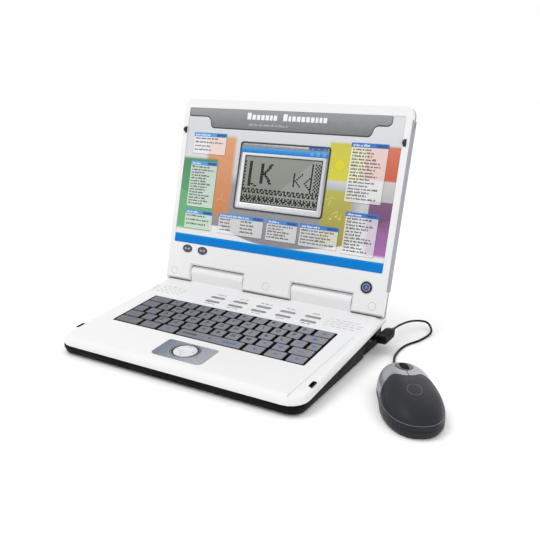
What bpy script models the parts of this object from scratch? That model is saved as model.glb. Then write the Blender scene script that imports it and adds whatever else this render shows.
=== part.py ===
"""Toy laptop computer with a corded mouse, as an assembly of separate solids.

Blender 4.5, metres, +Z up, the table at z = 0. The user sits on the -Y side.
The base is a wedge: its top plane rises towards the hinge. Pieces of the base are
drawn flat and put in place by BASE, pieces of the lid by LID, and pieces of the
mouse by MOUSE. Keys and buttons press along their own shell's inward normal.
"""

import math

import bmesh
import bpy
from mathutils import Matrix, Vector

MM = 0.001

# ---- driving dimensions, in millimetres and degrees -------------------------------
WIDTH = 310.0                 # base and lid, side to side
HALF = WIDTH / 2
DEPTH = 232.0                 # base, front edge to back edge, along its slope
SLOPE = 4.0                   # the top plane's rise towards the hinge
FRONT_HEIGHT = 21.0           # top plane above the table at the front edge
HINGE_S = 223.0               # hinge axis from the front edge, along the slope
HINGE_H = 10.6                # hinge axis above the top plane
LID_TILT = 14.0               # how far the open lid leans back from upright
LID_TOP = 229.0               # lid's top edge above the hinge axis
LID_FACE = 9.4                # lid's face in front of the hinge axis
LID_THICK = 16.0
LID_SPLIT = 7.0               # depth of the bezel; the back cover takes the rest
WALL = 2.2
GAP = 0.3                     # between fixed neighbours
RUN = 0.7                     # between pieces that swing past each other
SKIRT = 9.0                   # height of the white shell's side band
FLOOR_GAP = 2.0               # tray's underside above the table, on its feet

TAB_R = 13.4                  # lid tabs' rounded underside, about the hinge axis
HOUSING_R = 8.7               # hinge housings' rounded top, about the hinge axis
HOUSING_X = (35.0, 114.5)     # hinge housings, from the middle line

KEY_W = 252.0
KEY_S = (66.0, 150.0)         # keyboard well, front and back
KEY_ROWS = 5
KEY_PITCH = 19.7              # letter keys, side to side
KEY_TRAVEL = 1.8
CAP_TOP = 0.6

CARD = (147.0, 37.8, 216.3)   # activity card: half width, bottom and top
SCREEN = (62.4, 90.6, 176.5)  # screen frame: half width, bottom and top
WINDOW = (53.0, 101.0, 159.0) # screen window, in the same way
TOUCH = (32.5, 15.5, 53.5)    # touchpad plate: half width, front and back

TAB_SPANS = [                 # the lid's hinge tabs, side to side
    (-HALF, -HOUSING_X[1] - RUN),
    (-HOUSING_X[0] + RUN, HOUSING_X[0] - RUN),
    (HOUSING_X[1] + RUN, HALF),
]

NAV_S = 36.4                  # middle of the round navigation disc
PILL_X = (-49.5, -16.5, 16.5, 49.5, 82.5)
PILLS = [(x, s) for x in PILL_X for s in (179.0, 166.0)]
LATCH_X = 150.0               # latch hooks and their slots, from the middle line
LATCH_S = 36.0                # latch slots, from the front edge
LATCH_V = HINGE_S - LATCH_S   # latch hooks, from the hinge axis
SPEAKER_X = (99.0, 145.0)
SPEAKER_S = 175.5
PORT_S = 193.0                # mouse socket, from the front edge
PORT_Z = 19.5                 # and above the table
BATTERY_Y = (165.0, 181.0, 197.0)
DOOR = (-33.0, 154.0, 33.0, 208.0)

POWER = (131.0, 19.0)         # on the lid: across, and up from the hinge axis
VOLUME_X = (-124.5, -100.5)
VOLUME_V = 30.0
PLUG_X = (-141.0, 0.0, 141.0)
PLUG_V = -1.5

MOUSE_LENGTH = 124.0
MOUSE_WIDTH = 60.0
MOUSE_HEIGHT = 32.0
NOSE_DROP = 0.15              # share of its height that the dome loses at the nose
LEAN = 12.0                   # how far forward the top of the dome stands
MOUSE_AT = (231.4, 80.2)
MOUSE_TURN = 28.7
RIM = 8.0                     # mouse base's edge, above the table
SEAM = 9.6                    # lower edge of its cover and buttons
BUTTON_Y = 8.0                # where the palm cover ends and the buttons begin
WHEEL = (33.0, 20.5, 10.5)    # middle along the mouse, height, radius
CORD_D = 2.6

# the plug's grip, as (x, z)
PLUG_SECTION = [
    (159.0, 14.5), (168.5, 14.5), (169.8, 15.8), (169.8, 23.2),
    (168.5, 24.5), (159.0, 24.5), (157.7, 23.2), (157.7, 15.8),
]

# where the cord is led, in millimetres from the middle of the base's front edge
CORD_THROUGH = [
    (164.0, 220.8, 20.0),
    (164.5, 250.0, 17.5),
    (168.0, 288.0, 11.0),
    (181.0, 304.0, 6.5),
    (193.0, 283.0, 3.0),
    (189.0, 255.0, 1.6),
    (179.0, 226.0, 1.6),
    (180.0, 190.0, 2.2),
]

# the middle of the box round laptop and mouse, put over the world's origin
CENTRE_X = 59.4
CENTRE_Y = 141.6

ROOT = Matrix.Translation(Vector((-CENTRE_X, -CENTRE_Y, 0)) * MM)
BASE = ROOT @ Matrix.Translation(Vector((0, 0, FRONT_HEIGHT)) * MM) @ Matrix.Rotation(
    math.radians(SLOPE), 4, "X"
)
LID = (
    BASE
    @ Matrix.Translation(Vector((0, HINGE_S, HINGE_H)) * MM)
    @ Matrix.Rotation(math.radians(-SLOPE - LID_TILT), 4, "X")
)
MOUSE = (
    ROOT
    @ Matrix.Translation(Vector((*MOUSE_AT, 0)) * MM)
    @ Matrix.Rotation(math.radians(MOUSE_TURN), 4, "Z")
)


# ---- outlines ---------------------------------------------------------------------
def rounded_rect(x0, y0, x1, y1, radius, steps=5):
    """Counter-clockwise outline; radius is one number or one for each corner."""
    radii = radius if isinstance(radius, (list, tuple)) else [radius] * 4
    corners = [(x1, y0, -90), (x1, y1, 0), (x0, y1, 90), (x0, y0, 180)]
    points = []
    for (x, y, start), r in zip(corners, radii):
        if r <= 0:
            points.append((x, y))
            continue
        cx = x - r if x == x1 else x + r
        cy = y - r if y == y1 else y + r
        for i in range(steps + 1):
            a = math.radians(start + 90 * i / steps)
            points.append((cx + r * math.cos(a), cy + r * math.sin(a)))
    return points


def circle(r, n=32, x=0.0, y=0.0):
    return [
        (x + r * math.cos(2 * math.pi * i / n), y + r * math.sin(2 * math.pi * i / n))
        for i in range(n)
    ]


def mouse_outline(shrink=0.0, n=48):
    """Plan of the mouse, nose towards +Y: wide at the palm, a waist by the thumb."""
    points = []
    for i in range(n):
        a = 2 * math.pi * i / n
        u = math.copysign(abs(math.cos(a)) ** 0.87, math.cos(a))
        v = math.copysign(abs(math.sin(a)) ** 0.87, math.sin(a))
        waist = 0.07 * math.exp(-(((v - 0.12) / 0.3) ** 2))
        half = (MOUSE_WIDTH / 2 - shrink) * (1 - 0.06 * v - waist)
        points.append((u * half, v * (MOUSE_LENGTH / 2 - shrink)))
    return points


# ---- meshes -----------------------------------------------------------------------
def loft(loops):
    """A closed solid through loops of equal length, capped at both ends."""
    bm = bmesh.new()
    rings = [[bm.verts.new(p) for p in loop] for loop in loops]
    for low, high in zip(rings, rings[1:]):
        for i in range(len(low)):
            j = (i + 1) % len(low)
            bm.faces.new((low[i], low[j], high[j], high[i]))
    bm.faces.new(list(reversed(rings[0])))
    bm.faces.new(rings[-1])
    bmesh.ops.recalc_face_normals(bm, faces=bm.faces)
    return bm


def flat(outline, z):
    return [(x, y, z) for x, y in outline]


def prism(outline, z0, z1):
    return loft([flat(outline, z0), flat(outline, z1)])


def box(x0, y0, z0, x1, y1, z1):
    return prism([(x0, y0), (x1, y0), (x1, y1), (x0, y1)], z0, z1)


def rod(r, x0, x1, y=0.0, z=0.0, n=32):
    """A cylinder along X."""
    ring = circle(r, n)
    return loft([[(x, y + a, z + b) for a, b in ring] for x in (x0, x1)])


def side_prism(profile, x0, x1):
    """A profile of (y, z) points drawn out along X."""
    return loft([[(x, y, z) for y, z in profile] for x in (x0, x1)])


def make(name, bm, matrix=None, hidden=False):
    """An object from a bmesh in millimetres; matrix places it in the world."""
    mesh = bpy.data.meshes.new(name)
    bmesh.ops.scale(bm, vec=(MM, MM, MM), verts=bm.verts)
    bm.to_mesh(mesh)
    bm.free()
    obj = bpy.data.objects.new(name, mesh)
    bpy.context.scene.collection.objects.link(obj)
    if matrix is not None:
        obj.matrix_world = matrix
    if hidden:
        obj.hide_render = True
        obj.display_type = "WIRE"
    return obj


def carve(obj, *cutters, operation="DIFFERENCE"):
    """Boolean each cutter mesh, drawn in obj's own frame, into obj."""
    for number, bm in enumerate(cutters):
        tool = make(f"{obj.name}_tool{number}", bm, obj.matrix_world, hidden=True)
        modifier = obj.modifiers.new("carve", "BOOLEAN")
        modifier.operation = operation
        modifier.solver = "EXACT"
        modifier.object = tool
        bpy.context.view_layer.update()
        graph = bpy.context.evaluated_depsgraph_get()
        mesh = bpy.data.meshes.new_from_object(obj.evaluated_get(graph))
        obj.modifiers.clear()
        old = obj.data
        obj.data = mesh
        bpy.data.meshes.remove(old)
        bpy.data.objects.remove(tool)
    return obj


def join(obj, *pieces):
    return carve(obj, *pieces, operation="UNION")


def paint(obj, colour, roughness=0.45, metallic=0.0, smooth=None):
    material = bpy.data.materials.new(obj.name)
    material.use_nodes = True
    shader = material.node_tree.nodes["Principled BSDF"]
    shader.inputs["Base Color"].default_value = (*colour, 1)
    shader.inputs["Roughness"].default_value = roughness
    shader.inputs["Metallic"].default_value = metallic
    material.diffuse_color = (*colour, 1)
    obj.data.materials.clear()
    obj.data.materials.append(material)
    bm = bmesh.new()
    bm.from_mesh(obj.data)
    bmesh.ops.remove_doubles(bm, verts=bm.verts, dist=0.00001)
    bmesh.ops.dissolve_limit(
        bm, angle_limit=math.radians(0.5), verts=bm.verts, edges=bm.edges
    )
    bmesh.ops.triangulate(bm, faces=[f for f in bm.faces if len(f.verts) > 4])
    bm.to_mesh(obj.data)
    bm.free()
    if smooth:
        obj.data.shade_smooth()
        obj.data.set_sharp_from_angle(angle=math.radians(smooth))
    obj["paint"] = obj.name
    return obj


WHITE = (0.86, 0.86, 0.87)
BLACK = (0.025, 0.025, 0.03)
CAP = (0.25, 0.26, 0.29)
SILVER = (0.45, 0.46, 0.49)
CHARCOAL = (0.06, 0.06, 0.07)


def band(inset, level, radius=20.0):
    """The base's plan, pulled in by inset, at one level of the base's frame."""
    r = max(radius - inset, 1.5)
    back = max(8.0 - inset, 1.5)
    outline = rounded_rect(
        -HALF + inset, inset, HALF - inset, DEPTH - inset, [r, back, back, r]
    )
    return flat(outline, level)


# ---- base -------------------------------------------------------------------------
def base_top_shell():
    shoulder = [(0.0, -SKIRT), (0.0, -6.0), (0.9, -3.6), (2.9, -1.6), (6.0, -0.4), (9.5, 0.0)]
    obj = make("base_top_shell", loft([band(i, z) for i, z in shoulder]), BASE)
    r_front = 17.0
    cavity = rounded_rect(
        -HALF + 3, 3, HALF - 3, HINGE_S - TAB_R - 4, [r_front, 3, 3, r_front]
    )
    carve(obj, prism(cavity, -SKIRT - 1, -WALL))
    # the hinge housings stand on the solid strip at the back
    for side in (-1, 1):
        x0, x1 = sorted((side * HOUSING_X[0], side * HOUSING_X[1]))
        top = [
            (
                HINGE_S + HOUSING_R * math.cos(math.radians(a)),
                HINGE_H + HOUSING_R * math.sin(math.radians(a)),
            )
            for a in range(0, 181, 12)
        ]
        join(obj, side_prism([*top, (HINGE_S - HOUSING_R, -4), (HINGE_S + HOUSING_R, -4)], x0, x1))
    # round trough in which the lid's tabs turn, open at the back
    for x0, x1 in TAB_SPANS:
        x0 = x0 - RUN if abs(x0) < HALF - 1 else x0 - 5
        x1 = x1 + RUN if abs(x1) < HALF - 1 else x1 + 5
        trough = [
            (
                HINGE_S + (TAB_R + RUN) * math.cos(math.radians(a)),
                HINGE_H + (TAB_R + RUN) * math.sin(math.radians(a)),
            )
            for a in range(180, 271, 6)
        ]
        carve(obj, side_prism([*trough, (DEPTH + 5, HINGE_H - TAB_R - RUN), (DEPTH + 5, HINGE_H)], x0, x1))
    # bores for the hinge pins, blind, in the housings' outer ends
    for side in (-1, 1):
        x0, x1 = sorted((side * (HOUSING_X[1] - 14), side * (HOUSING_X[1] + 1)))
        carve(obj, rod(1.9, x0, x1, HINGE_S, HINGE_H, 16))
    well = KEY_W / 2 + 0.8
    carve(
        obj,
        prism(rounded_rect(-well, KEY_S[0] - 0.8, well, KEY_S[1] + 0.8, 1.5, 3), -6, 3),
        prism(touch_outline(0.3), -1.2, 3),
        prism(circle(17.3, 32, 0, NAV_S), -6, 3),
    )
    for x, s in PILLS:
        carve(obj, prism(rounded_rect(x - 10.3, s - 2.8, x + 10.3, s + 2.8, 2.7, 4), -6, 3))
    for side in (-1, 1):
        carve(obj, box(side * LATCH_X - 2, LATCH_S - 5.5, -6, side * LATCH_X + 2, LATCH_S + 5.5, 3))
        carve(obj, *speaker_slots(side))
    return paint(obj, WHITE, 0.3, smooth=40)


def speaker_slots(side):
    """Four rows of short slots through the deck, left and right of the function buttons."""
    slots = []
    for row in range(4):
        start = SPEAKER_X[0] + (2.0 if row in (0, 3) else 0.0)
        for i in range(6 if row in (1, 2) else 5):
            x0 = start + i * 8.0
            x1 = x0 + 5.6
            s = SPEAKER_S + 6.2 * (row - 1.5)
            slots.append(box(min(side * x0, side * x1), s - 0.6, -6, max(side * x0, side * x1), s + 0.6, 3))
    return slots


def tray_loop(inset, height):
    """The tray's plan at a world height, or under the white shell where height is None."""
    slope = math.tan(math.radians(SLOPE))
    cos = math.cos(math.radians(SLOPE))
    r = 18.0 - 0.5 * inset
    outline = rounded_rect(
        -HALF + inset, inset, HALF - inset, DEPTH * cos - 1.0 - 0.4 * inset, [r, 6, 6, r]
    )
    if height is None:
        lift = FRONT_HEIGHT - (SKIRT + GAP) / cos
        return [(x, y, lift + y * slope) for x, y in outline]
    return flat(outline, height)


def base_bottom_shell():
    obj = make(
        "base_bottom_shell",
        loft([tray_loop(10, FLOOR_GAP), tray_loop(8.5, FLOOR_GAP + 1.5), tray_loop(2.5, None)]),
        ROOT,
    )
    # deeper side blocks at the back, one of which holds the mouse port
    for side in (-1, 1):
        y0, y1 = 172.0, 226.0
        roof = FRONT_HEIGHT - (SKIRT + GAP) / math.cos(math.radians(SLOPE))
        slope = math.tan(math.radians(SLOPE))
        low = [(side * 140, y0), (side * 149.5, y0 + 5), (side * 149.5, y1), (side * 140, y1)]
        if side < 0:
            low.reverse()
        join(obj, loft([flat(low, FLOOR_GAP), [(x, y, roof + y * slope) for x, y in low]]))
    wall = WALL
    inner = [
        tray_loop(10 + wall, FLOOR_GAP + wall),
        tray_loop(8.5 + wall, FLOOR_GAP + 1.5 + wall),
        [(x, y, z + 2.0) for x, y, z in tray_loop(2.5 + wall, None)],
    ]
    carve(obj, loft(inner))
    x0, y0, x1, y1 = DOOR
    carve(obj, box(x0 - GAP, y0 - GAP, -1, x1 + GAP, y1 + GAP, 8))
    carve(obj, rod(7.5, 137, 152, PORT_S, PORT_Z, 32))
    return paint(obj, BLACK, 0.5, smooth=35)


def battery_bay():
    x0, y0, x1, y1 = DOOR
    door = make("battery_door", box(x0, y0, FLOOR_GAP, x1, y1, FLOOR_GAP + 2.0), ROOT)
    carve(door, prism(circle(3.3, 24, 0, y0 + 5), FLOOR_GAP - 1, FLOOR_GAP + 1.2))
    paint(door, (0.03, 0.03, 0.035), 0.5)
    head = prism(circle(3.0, 24, 0, y0 + 5), FLOOR_GAP + 0.1, FLOOR_GAP + 0.9)
    screw = make("battery_door_screw", head, ROOT)
    carve(
        screw,
        box(-2.2, y0 + 4.6, FLOOR_GAP - 1, 2.2, y0 + 5.4, FLOOR_GAP + 0.5),
        box(-0.4, y0 + 2.8, FLOOR_GAP - 1, 0.4, y0 + 7.2, FLOOR_GAP + 0.5),
    )
    paint(screw, (0.5, 0.5, 0.52), 0.3, 1.0)
    for number, y in enumerate(BATTERY_Y, 1):
        z = FLOOR_GAP + 2.5 + 7.1
        cell = make(f"battery_{number}", rod(7.1, -24.5, 24.0, y, z, 24), ROOT)
        join(cell, rod(2.7, 23.5, 25.4, y, z, 16))
        paint(cell, (0.12, 0.13, 0.15), 0.35, 0.4, smooth=40)


def base_insides():
    membrane = box(-KEY_W / 2 - 4, KEY_S[0] - 4, -8.0, KEY_W / 2 + 4, KEY_S[1] + 4, -6.4)
    paint(make("keypad_membrane", membrane, BASE), (0.3, 0.31, 0.33), 0.7)
    board = box(-60, 160, -12.0, 110, 203, -10.4)
    paint(make("main_board", board, BASE), (0.03, 0.16, 0.07), 0.5)
    x = -(SPEAKER_X[0] + SPEAKER_X[1]) / 2
    cone = loft(
        [
            flat(circle(9, 32, x, SPEAKER_S), -15),
            flat(circle(11, 32, x, SPEAKER_S), -9.5),
            flat(circle(17, 32, x, SPEAKER_S), -4.5),
            flat(circle(17, 32, x, SPEAKER_S), -WALL - 0.6),
        ]
    )
    paint(make("speaker", cone, BASE), (0.1, 0.1, 0.1), 0.6, smooth=40)


def touch_outline(grow=0.0):
    """Plate round the disc: small rounded corners at the back, cut corners in front."""
    half, front, back = TOUCH
    return rounded_rect(
        -half - grow, front - grow, half + grow, back + grow, [6.0, 3.0, 3.0, 6.0], 2
    )


def touch_area():
    plate = make("touchpad_plate", prism(touch_outline(), -0.9, 0.3), BASE)
    carve(plate, prism(circle(17.2, 32, 0, NAV_S), -3, 3))
    paint(plate, (0.42, 0.44, 0.49), 0.35, 0.5, smooth=40)
    ring = make("nav_ring", prism(circle(16.9, 32, 0, NAV_S), -3.0, 0.5), BASE)
    carve(ring, prism(circle(13.7, 32, 0, NAV_S), -5, 3))
    paint(ring, (0.05, 0.05, 0.06), 0.3, smooth=40)
    disc = make(
        "nav_disc",
        loft(
            [
                flat(circle(13.3, 32, 0, NAV_S), -3.2),
                flat(circle(13.3, 32, 0, NAV_S), 0.2),
                flat(circle(12.6, 32, 0, NAV_S), 0.8),
            ]
        ),
        BASE,
    )
    paint(disc, (0.8, 0.8, 0.82), 0.3, smooth=40)


def row_span(row):
    """Front and back of a key row; row 1 is at the back."""
    pitch = (KEY_S[1] - KEY_S[0]) / KEY_ROWS
    back = KEY_S[1] - (row - 1) * pitch
    return back - pitch, back


def key_group(name, row, edges):
    """Caps on one web, between edges given in millimetres from the middle line."""
    front, back = row_span(row)
    web = box(edges[0] + 0.4, front + 0.4, -4.4, edges[-1] - 0.4, back - 0.4, -3.2)
    obj = make(name, web, BASE)
    for x0, x1 in zip(edges, edges[1:]):
        foot_line = rounded_rect(x0 + 1.5, front + 0.8, x1 - 1.5, back - 0.7, 1.2, 2)
        top_line = rounded_rect(x0 + 2.0, front + 1.5, x1 - 2.0, back - 0.9, 1.2, 2)
        join(obj, loft([flat(foot_line, -3.6), flat(top_line, CAP_TOP)]))
    return paint(obj, CAP, 0.5)


def steps(start, count, pitch):
    return [start + pitch * i for i in range(count + 1)]


def keyboard():
    end = KEY_W / 2
    key_group("escape_key", 1, [-end, -95.3])
    key_group("key_row_1", 1, [*steps(-95.3, 10, KEY_PITCH), end])
    key_group("key_row_2", 2, [-end, *steps(-101.3, 10, KEY_PITCH), end])
    key_group("key_row_3", 3, [-end, *steps(-107.3, 11, KEY_PITCH), end])
    key_group("key_row_4", 4, [-end, *steps(-101.0, 10, KEY_PITCH), end])
    key_group("key_row_5_left", 5, [-end, -90.0, -63.5, -37.5])
    key_group("space_bar", 5, [-37.5, 50.0])
    key_group("key_row_5_right", 5, [50.0, 76.0, 102.0])
    key_group("enter_key", 5, [102.0, end])


def function_buttons():
    for number, (x, s) in enumerate(PILLS, 1):
        obj = make(
            f"function_button_{number}",
            loft(
                [
                    flat(rounded_rect(x - 10.0, s - 2.5, x + 10.0, s + 2.5, 2.4, 4), -3.4),
                    flat(rounded_rect(x - 10.0, s - 2.5, x + 10.0, s + 2.5, 2.4, 4), 0.3),
                    flat(rounded_rect(x - 9.4, s - 1.9, x + 9.4, s + 1.9, 1.8, 4), 0.8),
                ]
            ),
            BASE,
        )
        join(obj, prism(rounded_rect(x - 11.4, s - 3.9, x + 11.4, s + 3.9, 3, 2), -4.4, -3.2))
        paint(obj, SILVER, 0.4, smooth=40)


def feet():
    spots = {
        "foot_front_left": (-128, 24),
        "foot_front_right": (128, 24),
        "foot_back_left": (-128, 206),
        "foot_back_right": (128, 206),
    }
    for name, (x, y) in spots.items():
        obj = make(name, prism(circle(7, 24, x, y), 0, FLOOR_GAP - 0.02), ROOT)
        paint(obj, (0.02, 0.02, 0.02), 0.8, smooth=40)


def hinge_pins():
    for name, side in (("hinge_pin_left", -1), ("hinge_pin_right", 1)):
        x0, x1 = sorted((side * (HOUSING_X[1] - 13), side * (HOUSING_X[1] + 14)))
        obj = make(name, rod(1.6, x0, x1, HINGE_S, HINGE_H, 16), BASE)
        paint(obj, (0.6, 0.6, 0.62), 0.3, 1.0, smooth=40)


# ---- lid --------------------------------------------------------------------------
def lid_side(inset=0.0):
    """The lid seen from the front: (x, v) outline with cut-outs round the housings."""
    cut = HOUSING_R + RUN
    bottom = -TAB_R + inset
    x_out = HALF - inset
    top = LID_TOP - inset
    inner = HOUSING_X[0] - RUN - inset
    outer = HOUSING_X[1] + RUN + inset
    corner = 12.0 - inset
    points = [(-x_out, bottom), (-outer, bottom), (-outer, cut + inset), (-inner, cut + inset)]
    points += [(-inner, bottom), (inner, bottom), (inner, cut + inset), (outer, cut + inset)]
    points += [(outer, bottom), (x_out, bottom)]
    for i in range(6):
        a = math.radians(90 * i / 5)
        points.append((x_out - corner + corner * math.cos(a), top - corner + corner * math.sin(a)))
    for i in range(6):
        a = math.radians(90 + 90 * i / 5)
        points.append((-x_out + corner + corner * math.cos(a), top - corner + corner * math.sin(a)))
    return points


def upright(outline, n):
    """An outline of (x, v) points at a depth n of the lid's frame."""
    return [(x, n, v) for x, v in outline]


def plate(outline, n0, n1):
    return loft([upright(outline, n0), upright(outline, n1)])


def tab_round(obj):
    """Keep only what lies above the tabs' round underside."""
    r = TAB_R
    waste = [
        (r * math.cos(math.radians(a)), r * math.sin(math.radians(a)))
        for a in range(180, 361, 9)
    ]
    waste += [(30, 0), (30, -30), (-30, -30), (-30, 0)]
    carve(obj, side_prism(waste, -HALF - 5, HALF + 5))


def lid_shells():
    front = -LID_FACE
    split = front + LID_SPLIT
    back = front + LID_THICK
    bezel = make(
        "lid_bezel",
        loft(
            [
                upright(lid_side(1.6), front),
                upright(lid_side(0.5), front + 0.6),
                upright(lid_side(0.0), front + 1.8),
                upright(lid_side(0.0), split),
            ]
        ),
        LID,
    )
    room = rounded_rect(-HALF + WALL, HOUSING_R + RUN + WALL + 1, HALF - WALL, LID_TOP - WALL, 8, 3)
    carve(bezel, plate(room, front + WALL + 1.2, split + 3))
    half, low, high = CARD
    seat = rounded_rect(-half - GAP, low - GAP, half + GAP, high + GAP, 1.5, 2)
    carve(bezel, plate(seat, front - 2, front + 1.3))
    half, low, high = SCREEN
    carve(bezel, plate(rounded_rect(-half + 3, low + 3, half - 3, high - 3, 3, 2), front - 2, front + 8))
    tab_round(bezel)
    x, v = POWER
    carve(bezel, plate(circle(6.3, 28, x, v), front - 2, front + 9))
    for x in VOLUME_X:
        carve(bezel, plate(oval(x, VOLUME_V, 0.35), front - 2, front + 9))
    for x in PLUG_X:
        carve(bezel, plate(circle(4.9, 24, x, PLUG_V), front - 2, front + 1.6))
    for side in (-1, 1):
        slot = [(-1.8, -4.3), (1.8, -4.3), (1.8, 4.3), (-1.8, 4.3)]
        hole = [(side * LATCH_X + a, LATCH_V + b) for a, b in slot]
        carve(bezel, plate(hole, front - 2, front + 3))
        x0, x1 = sorted((side * (HOUSING_X[1] - 2), side * (HOUSING_X[1] + 16)))
        carve(bezel, rod(1.9, x0, x1, 0, 0, 16))
    paint(bezel, WHITE, 0.3, smooth=40)

    cover = make(
        "lid_back_cover",
        loft(
            [
                upright(lid_side(0.0), split + GAP),
                upright(lid_side(0.0), back - 3.5),
                upright(lid_side(1.0), back - 1.2),
                upright(lid_side(3.2), back),
            ]
        ),
        LID,
    )
    carve(cover, plate(room, split - 3, back - WALL))
    tab_round(cover)
    for side in (-1, 1):
        x0, x1 = sorted((side * (HOUSING_X[1] - 2), side * (HOUSING_X[1] + 16)))
        carve(cover, rod(1.9, x0, x1, 0, 0, 16))
    paint(cover, WHITE, 0.3, smooth=40)


def oval(x, v, grow=0.0, n=28):
    return [
        (x + (7.4 + grow) * math.cos(2 * math.pi * i / n), v + (5.0 + grow) * math.sin(2 * math.pi * i / n))
        for i in range(n)
    ]


def lid_pieces():
    front = -LID_FACE
    half, low, high = CARD
    sheet = plate(rounded_rect(-half, low, half, high, 1.2, 2), front + 0.4, front + 1.0)
    card = make("activity_card", sheet, LID)
    s_half, s_low, s_high = SCREEN
    hole = rounded_rect(-s_half - GAP, s_low - GAP, s_half + GAP, s_high + GAP, 3, 2)
    carve(card, plate(hole, front - 3, front + 4))
    paint(card, (0.55, 0.6, 0.62), 0.35)
    frame = make(
        "lcd_frame",
        loft(
            [
                upright(rounded_rect(-s_half + 1, s_low + 1, s_half - 1, s_high - 1, 3, 3), front + 0.1),
                upright(rounded_rect(-s_half, s_low, s_half, s_high, 3, 3), front + 0.6),
                upright(rounded_rect(-s_half, s_low, s_half, s_high, 3, 3), front + 1.1),
            ]
        ),
        LID,
    )
    w_half, w_low, w_high = WINDOW
    carve(frame, plate(rounded_rect(-w_half, w_low, w_half, w_high, 3, 3), front - 3, front + 4))
    paint(frame, (0.5, 0.51, 0.54), 0.3, 0.6, smooth=40)
    glass = rounded_rect(-w_half - 1.5, w_low - 1.5, w_half + 1.5, w_high + 1.5, 1, 2)
    panel = plate(glass, front + 1.4, front + 3.2)
    paint(make("lcd_panel", panel, LID), (0.28, 0.31, 0.28), 0.15)
    x, v = POWER
    power = make(
        "power_button",
        loft(
            [
                upright(circle(5.3, 28, x, v), front - 0.5),
                upright(circle(5.9, 28, x, v), front + 0.1),
                upright(circle(5.9, 28, x, v), front + 4.6),
            ]
        ),
        LID,
    )
    paint(power, (0.05, 0.06, 0.1), 0.35, smooth=40)
    for name, x in zip(("volume_down_button", "volume_up_button"), VOLUME_X):
        button = make(
            name,
            loft(
                [
                    upright(oval(x, VOLUME_V, -0.7), front - 0.5),
                    upright(oval(x, VOLUME_V), front + 0.1),
                    upright(oval(x, VOLUME_V), front + 4.6),
                ]
            ),
            LID,
        )
        paint(button, (0.08, 0.09, 0.12), 0.35, smooth=40)
    for name, x in zip(("screw_plug_left", "screw_plug_middle", "screw_plug_right"), PLUG_X):
        plug = make(name, plate(circle(4.6, 24, x, PLUG_V), front + 0.05, front + 1.3), LID)
        paint(plug, (0.83, 0.83, 0.84), 0.45, smooth=40)
    for name, side in (("latch_hook_left", -1), ("latch_hook_right", 1)):
        hook = [
            (front + 2.7, -4.0),
            (front - 4.2, -1.6),
            (front - 4.2, 1.2),
            (front - 3.0, 2.6),
            (front - 2.2, 1.0),
            (front + 2.7, 4.0),
        ]
        bm = loft([[(side * LATCH_X + a, n, LATCH_V + v) for n, v in hook] for a in (-1.5, 1.5)])
        paint(make(name, bm, LID), (0.06, 0.06, 0.07), 0.4)


# ---- mouse ------------------------------------------------------------------------
def mouse_body(shrink=0.0):
    """The whole mouse as one dome, lower at the nose; shrink gives the hollow inside."""
    steps = 9
    loops = []
    for i in range(steps):
        angle = math.radians(84.0 * i / (steps - 1))
        rise = (MOUSE_HEIGHT - RIM - shrink) * math.sin(angle)
        scale = math.cos(angle) ** 0.62
        lean = LEAN * math.sin(angle) ** 2
        ring = []
        for x, y in mouse_outline(shrink):
            v = y * scale + lean
            nose = max(v, 0.0) / (MOUSE_LENGTH / 2)
            ring.append((x * scale, v, RIM + rise * (1 - NOSE_DROP * nose**1.3)))
        loops.append(ring)
    bottom = [(x * 0.93, y * 0.95, 2.0 if shrink else 0.0) for x, y in mouse_outline(shrink)]
    waist = [(x, y, 4.0) for x, y in mouse_outline(shrink)]
    return loft([bottom, waist, *loops])


def mouse():
    big = 90.0
    below = box(-big, -big, -5, big, big, RIM)
    above = box(-big, -big, SEAM, big, big, 60)

    base = make("mouse_base", mouse_body(), MOUSE)
    carve(base, below, operation="INTERSECT")
    inner = [(x, y) for x, y in mouse_outline(2.4)]
    carve(base, prism([(x * 0.93, y * 0.95) for x, y in inner], 2.0, RIM + 2))
    paint(base, CHARCOAL, 0.4, smooth=35)

    cover = make("mouse_cover", mouse_body(), MOUSE)
    carve(cover, above, operation="INTERSECT")
    carve(cover, mouse_body(2.0))
    carve(cover, box(-big, -big, SEAM - 5, big, BUTTON_Y - 0.3, 60), operation="INTERSECT")
    paint(cover, (0.075, 0.075, 0.085), 0.4, smooth=35)

    for name, side in (("mouse_left_button", -1), ("mouse_right_button", 1)):
        key = make(name, mouse_body(), MOUSE)
        carve(key, box(-big, -big, SEAM, big, big, 60), operation="INTERSECT")
        carve(key, mouse_body(2.0))
        x0, x1 = sorted((side * 0.3, side * big))
        carve(key, box(x0, BUTTON_Y + 0.3, SEAM - 5, x1, big, 60), operation="INTERSECT")
        carve(key, box(-4.4, WHEEL[0] - 12.5, 2, 4.4, WHEEL[0] + 12.5, 50))
        paint(key, SILVER, 0.3, 0.5, smooth=35)

    y, z, r = WHEEL
    wheel = make("mouse_wheel", rod(r, -3.2, 3.2, y, z, 32), MOUSE)
    paint(wheel, (0.03, 0.03, 0.03), 0.6, smooth=40)
    board = box(-18, -30, 4.6, 18, 22, 6.0)
    paint(make("mouse_board", board, MOUSE), (0.03, 0.16, 0.07), 0.5)


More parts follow.
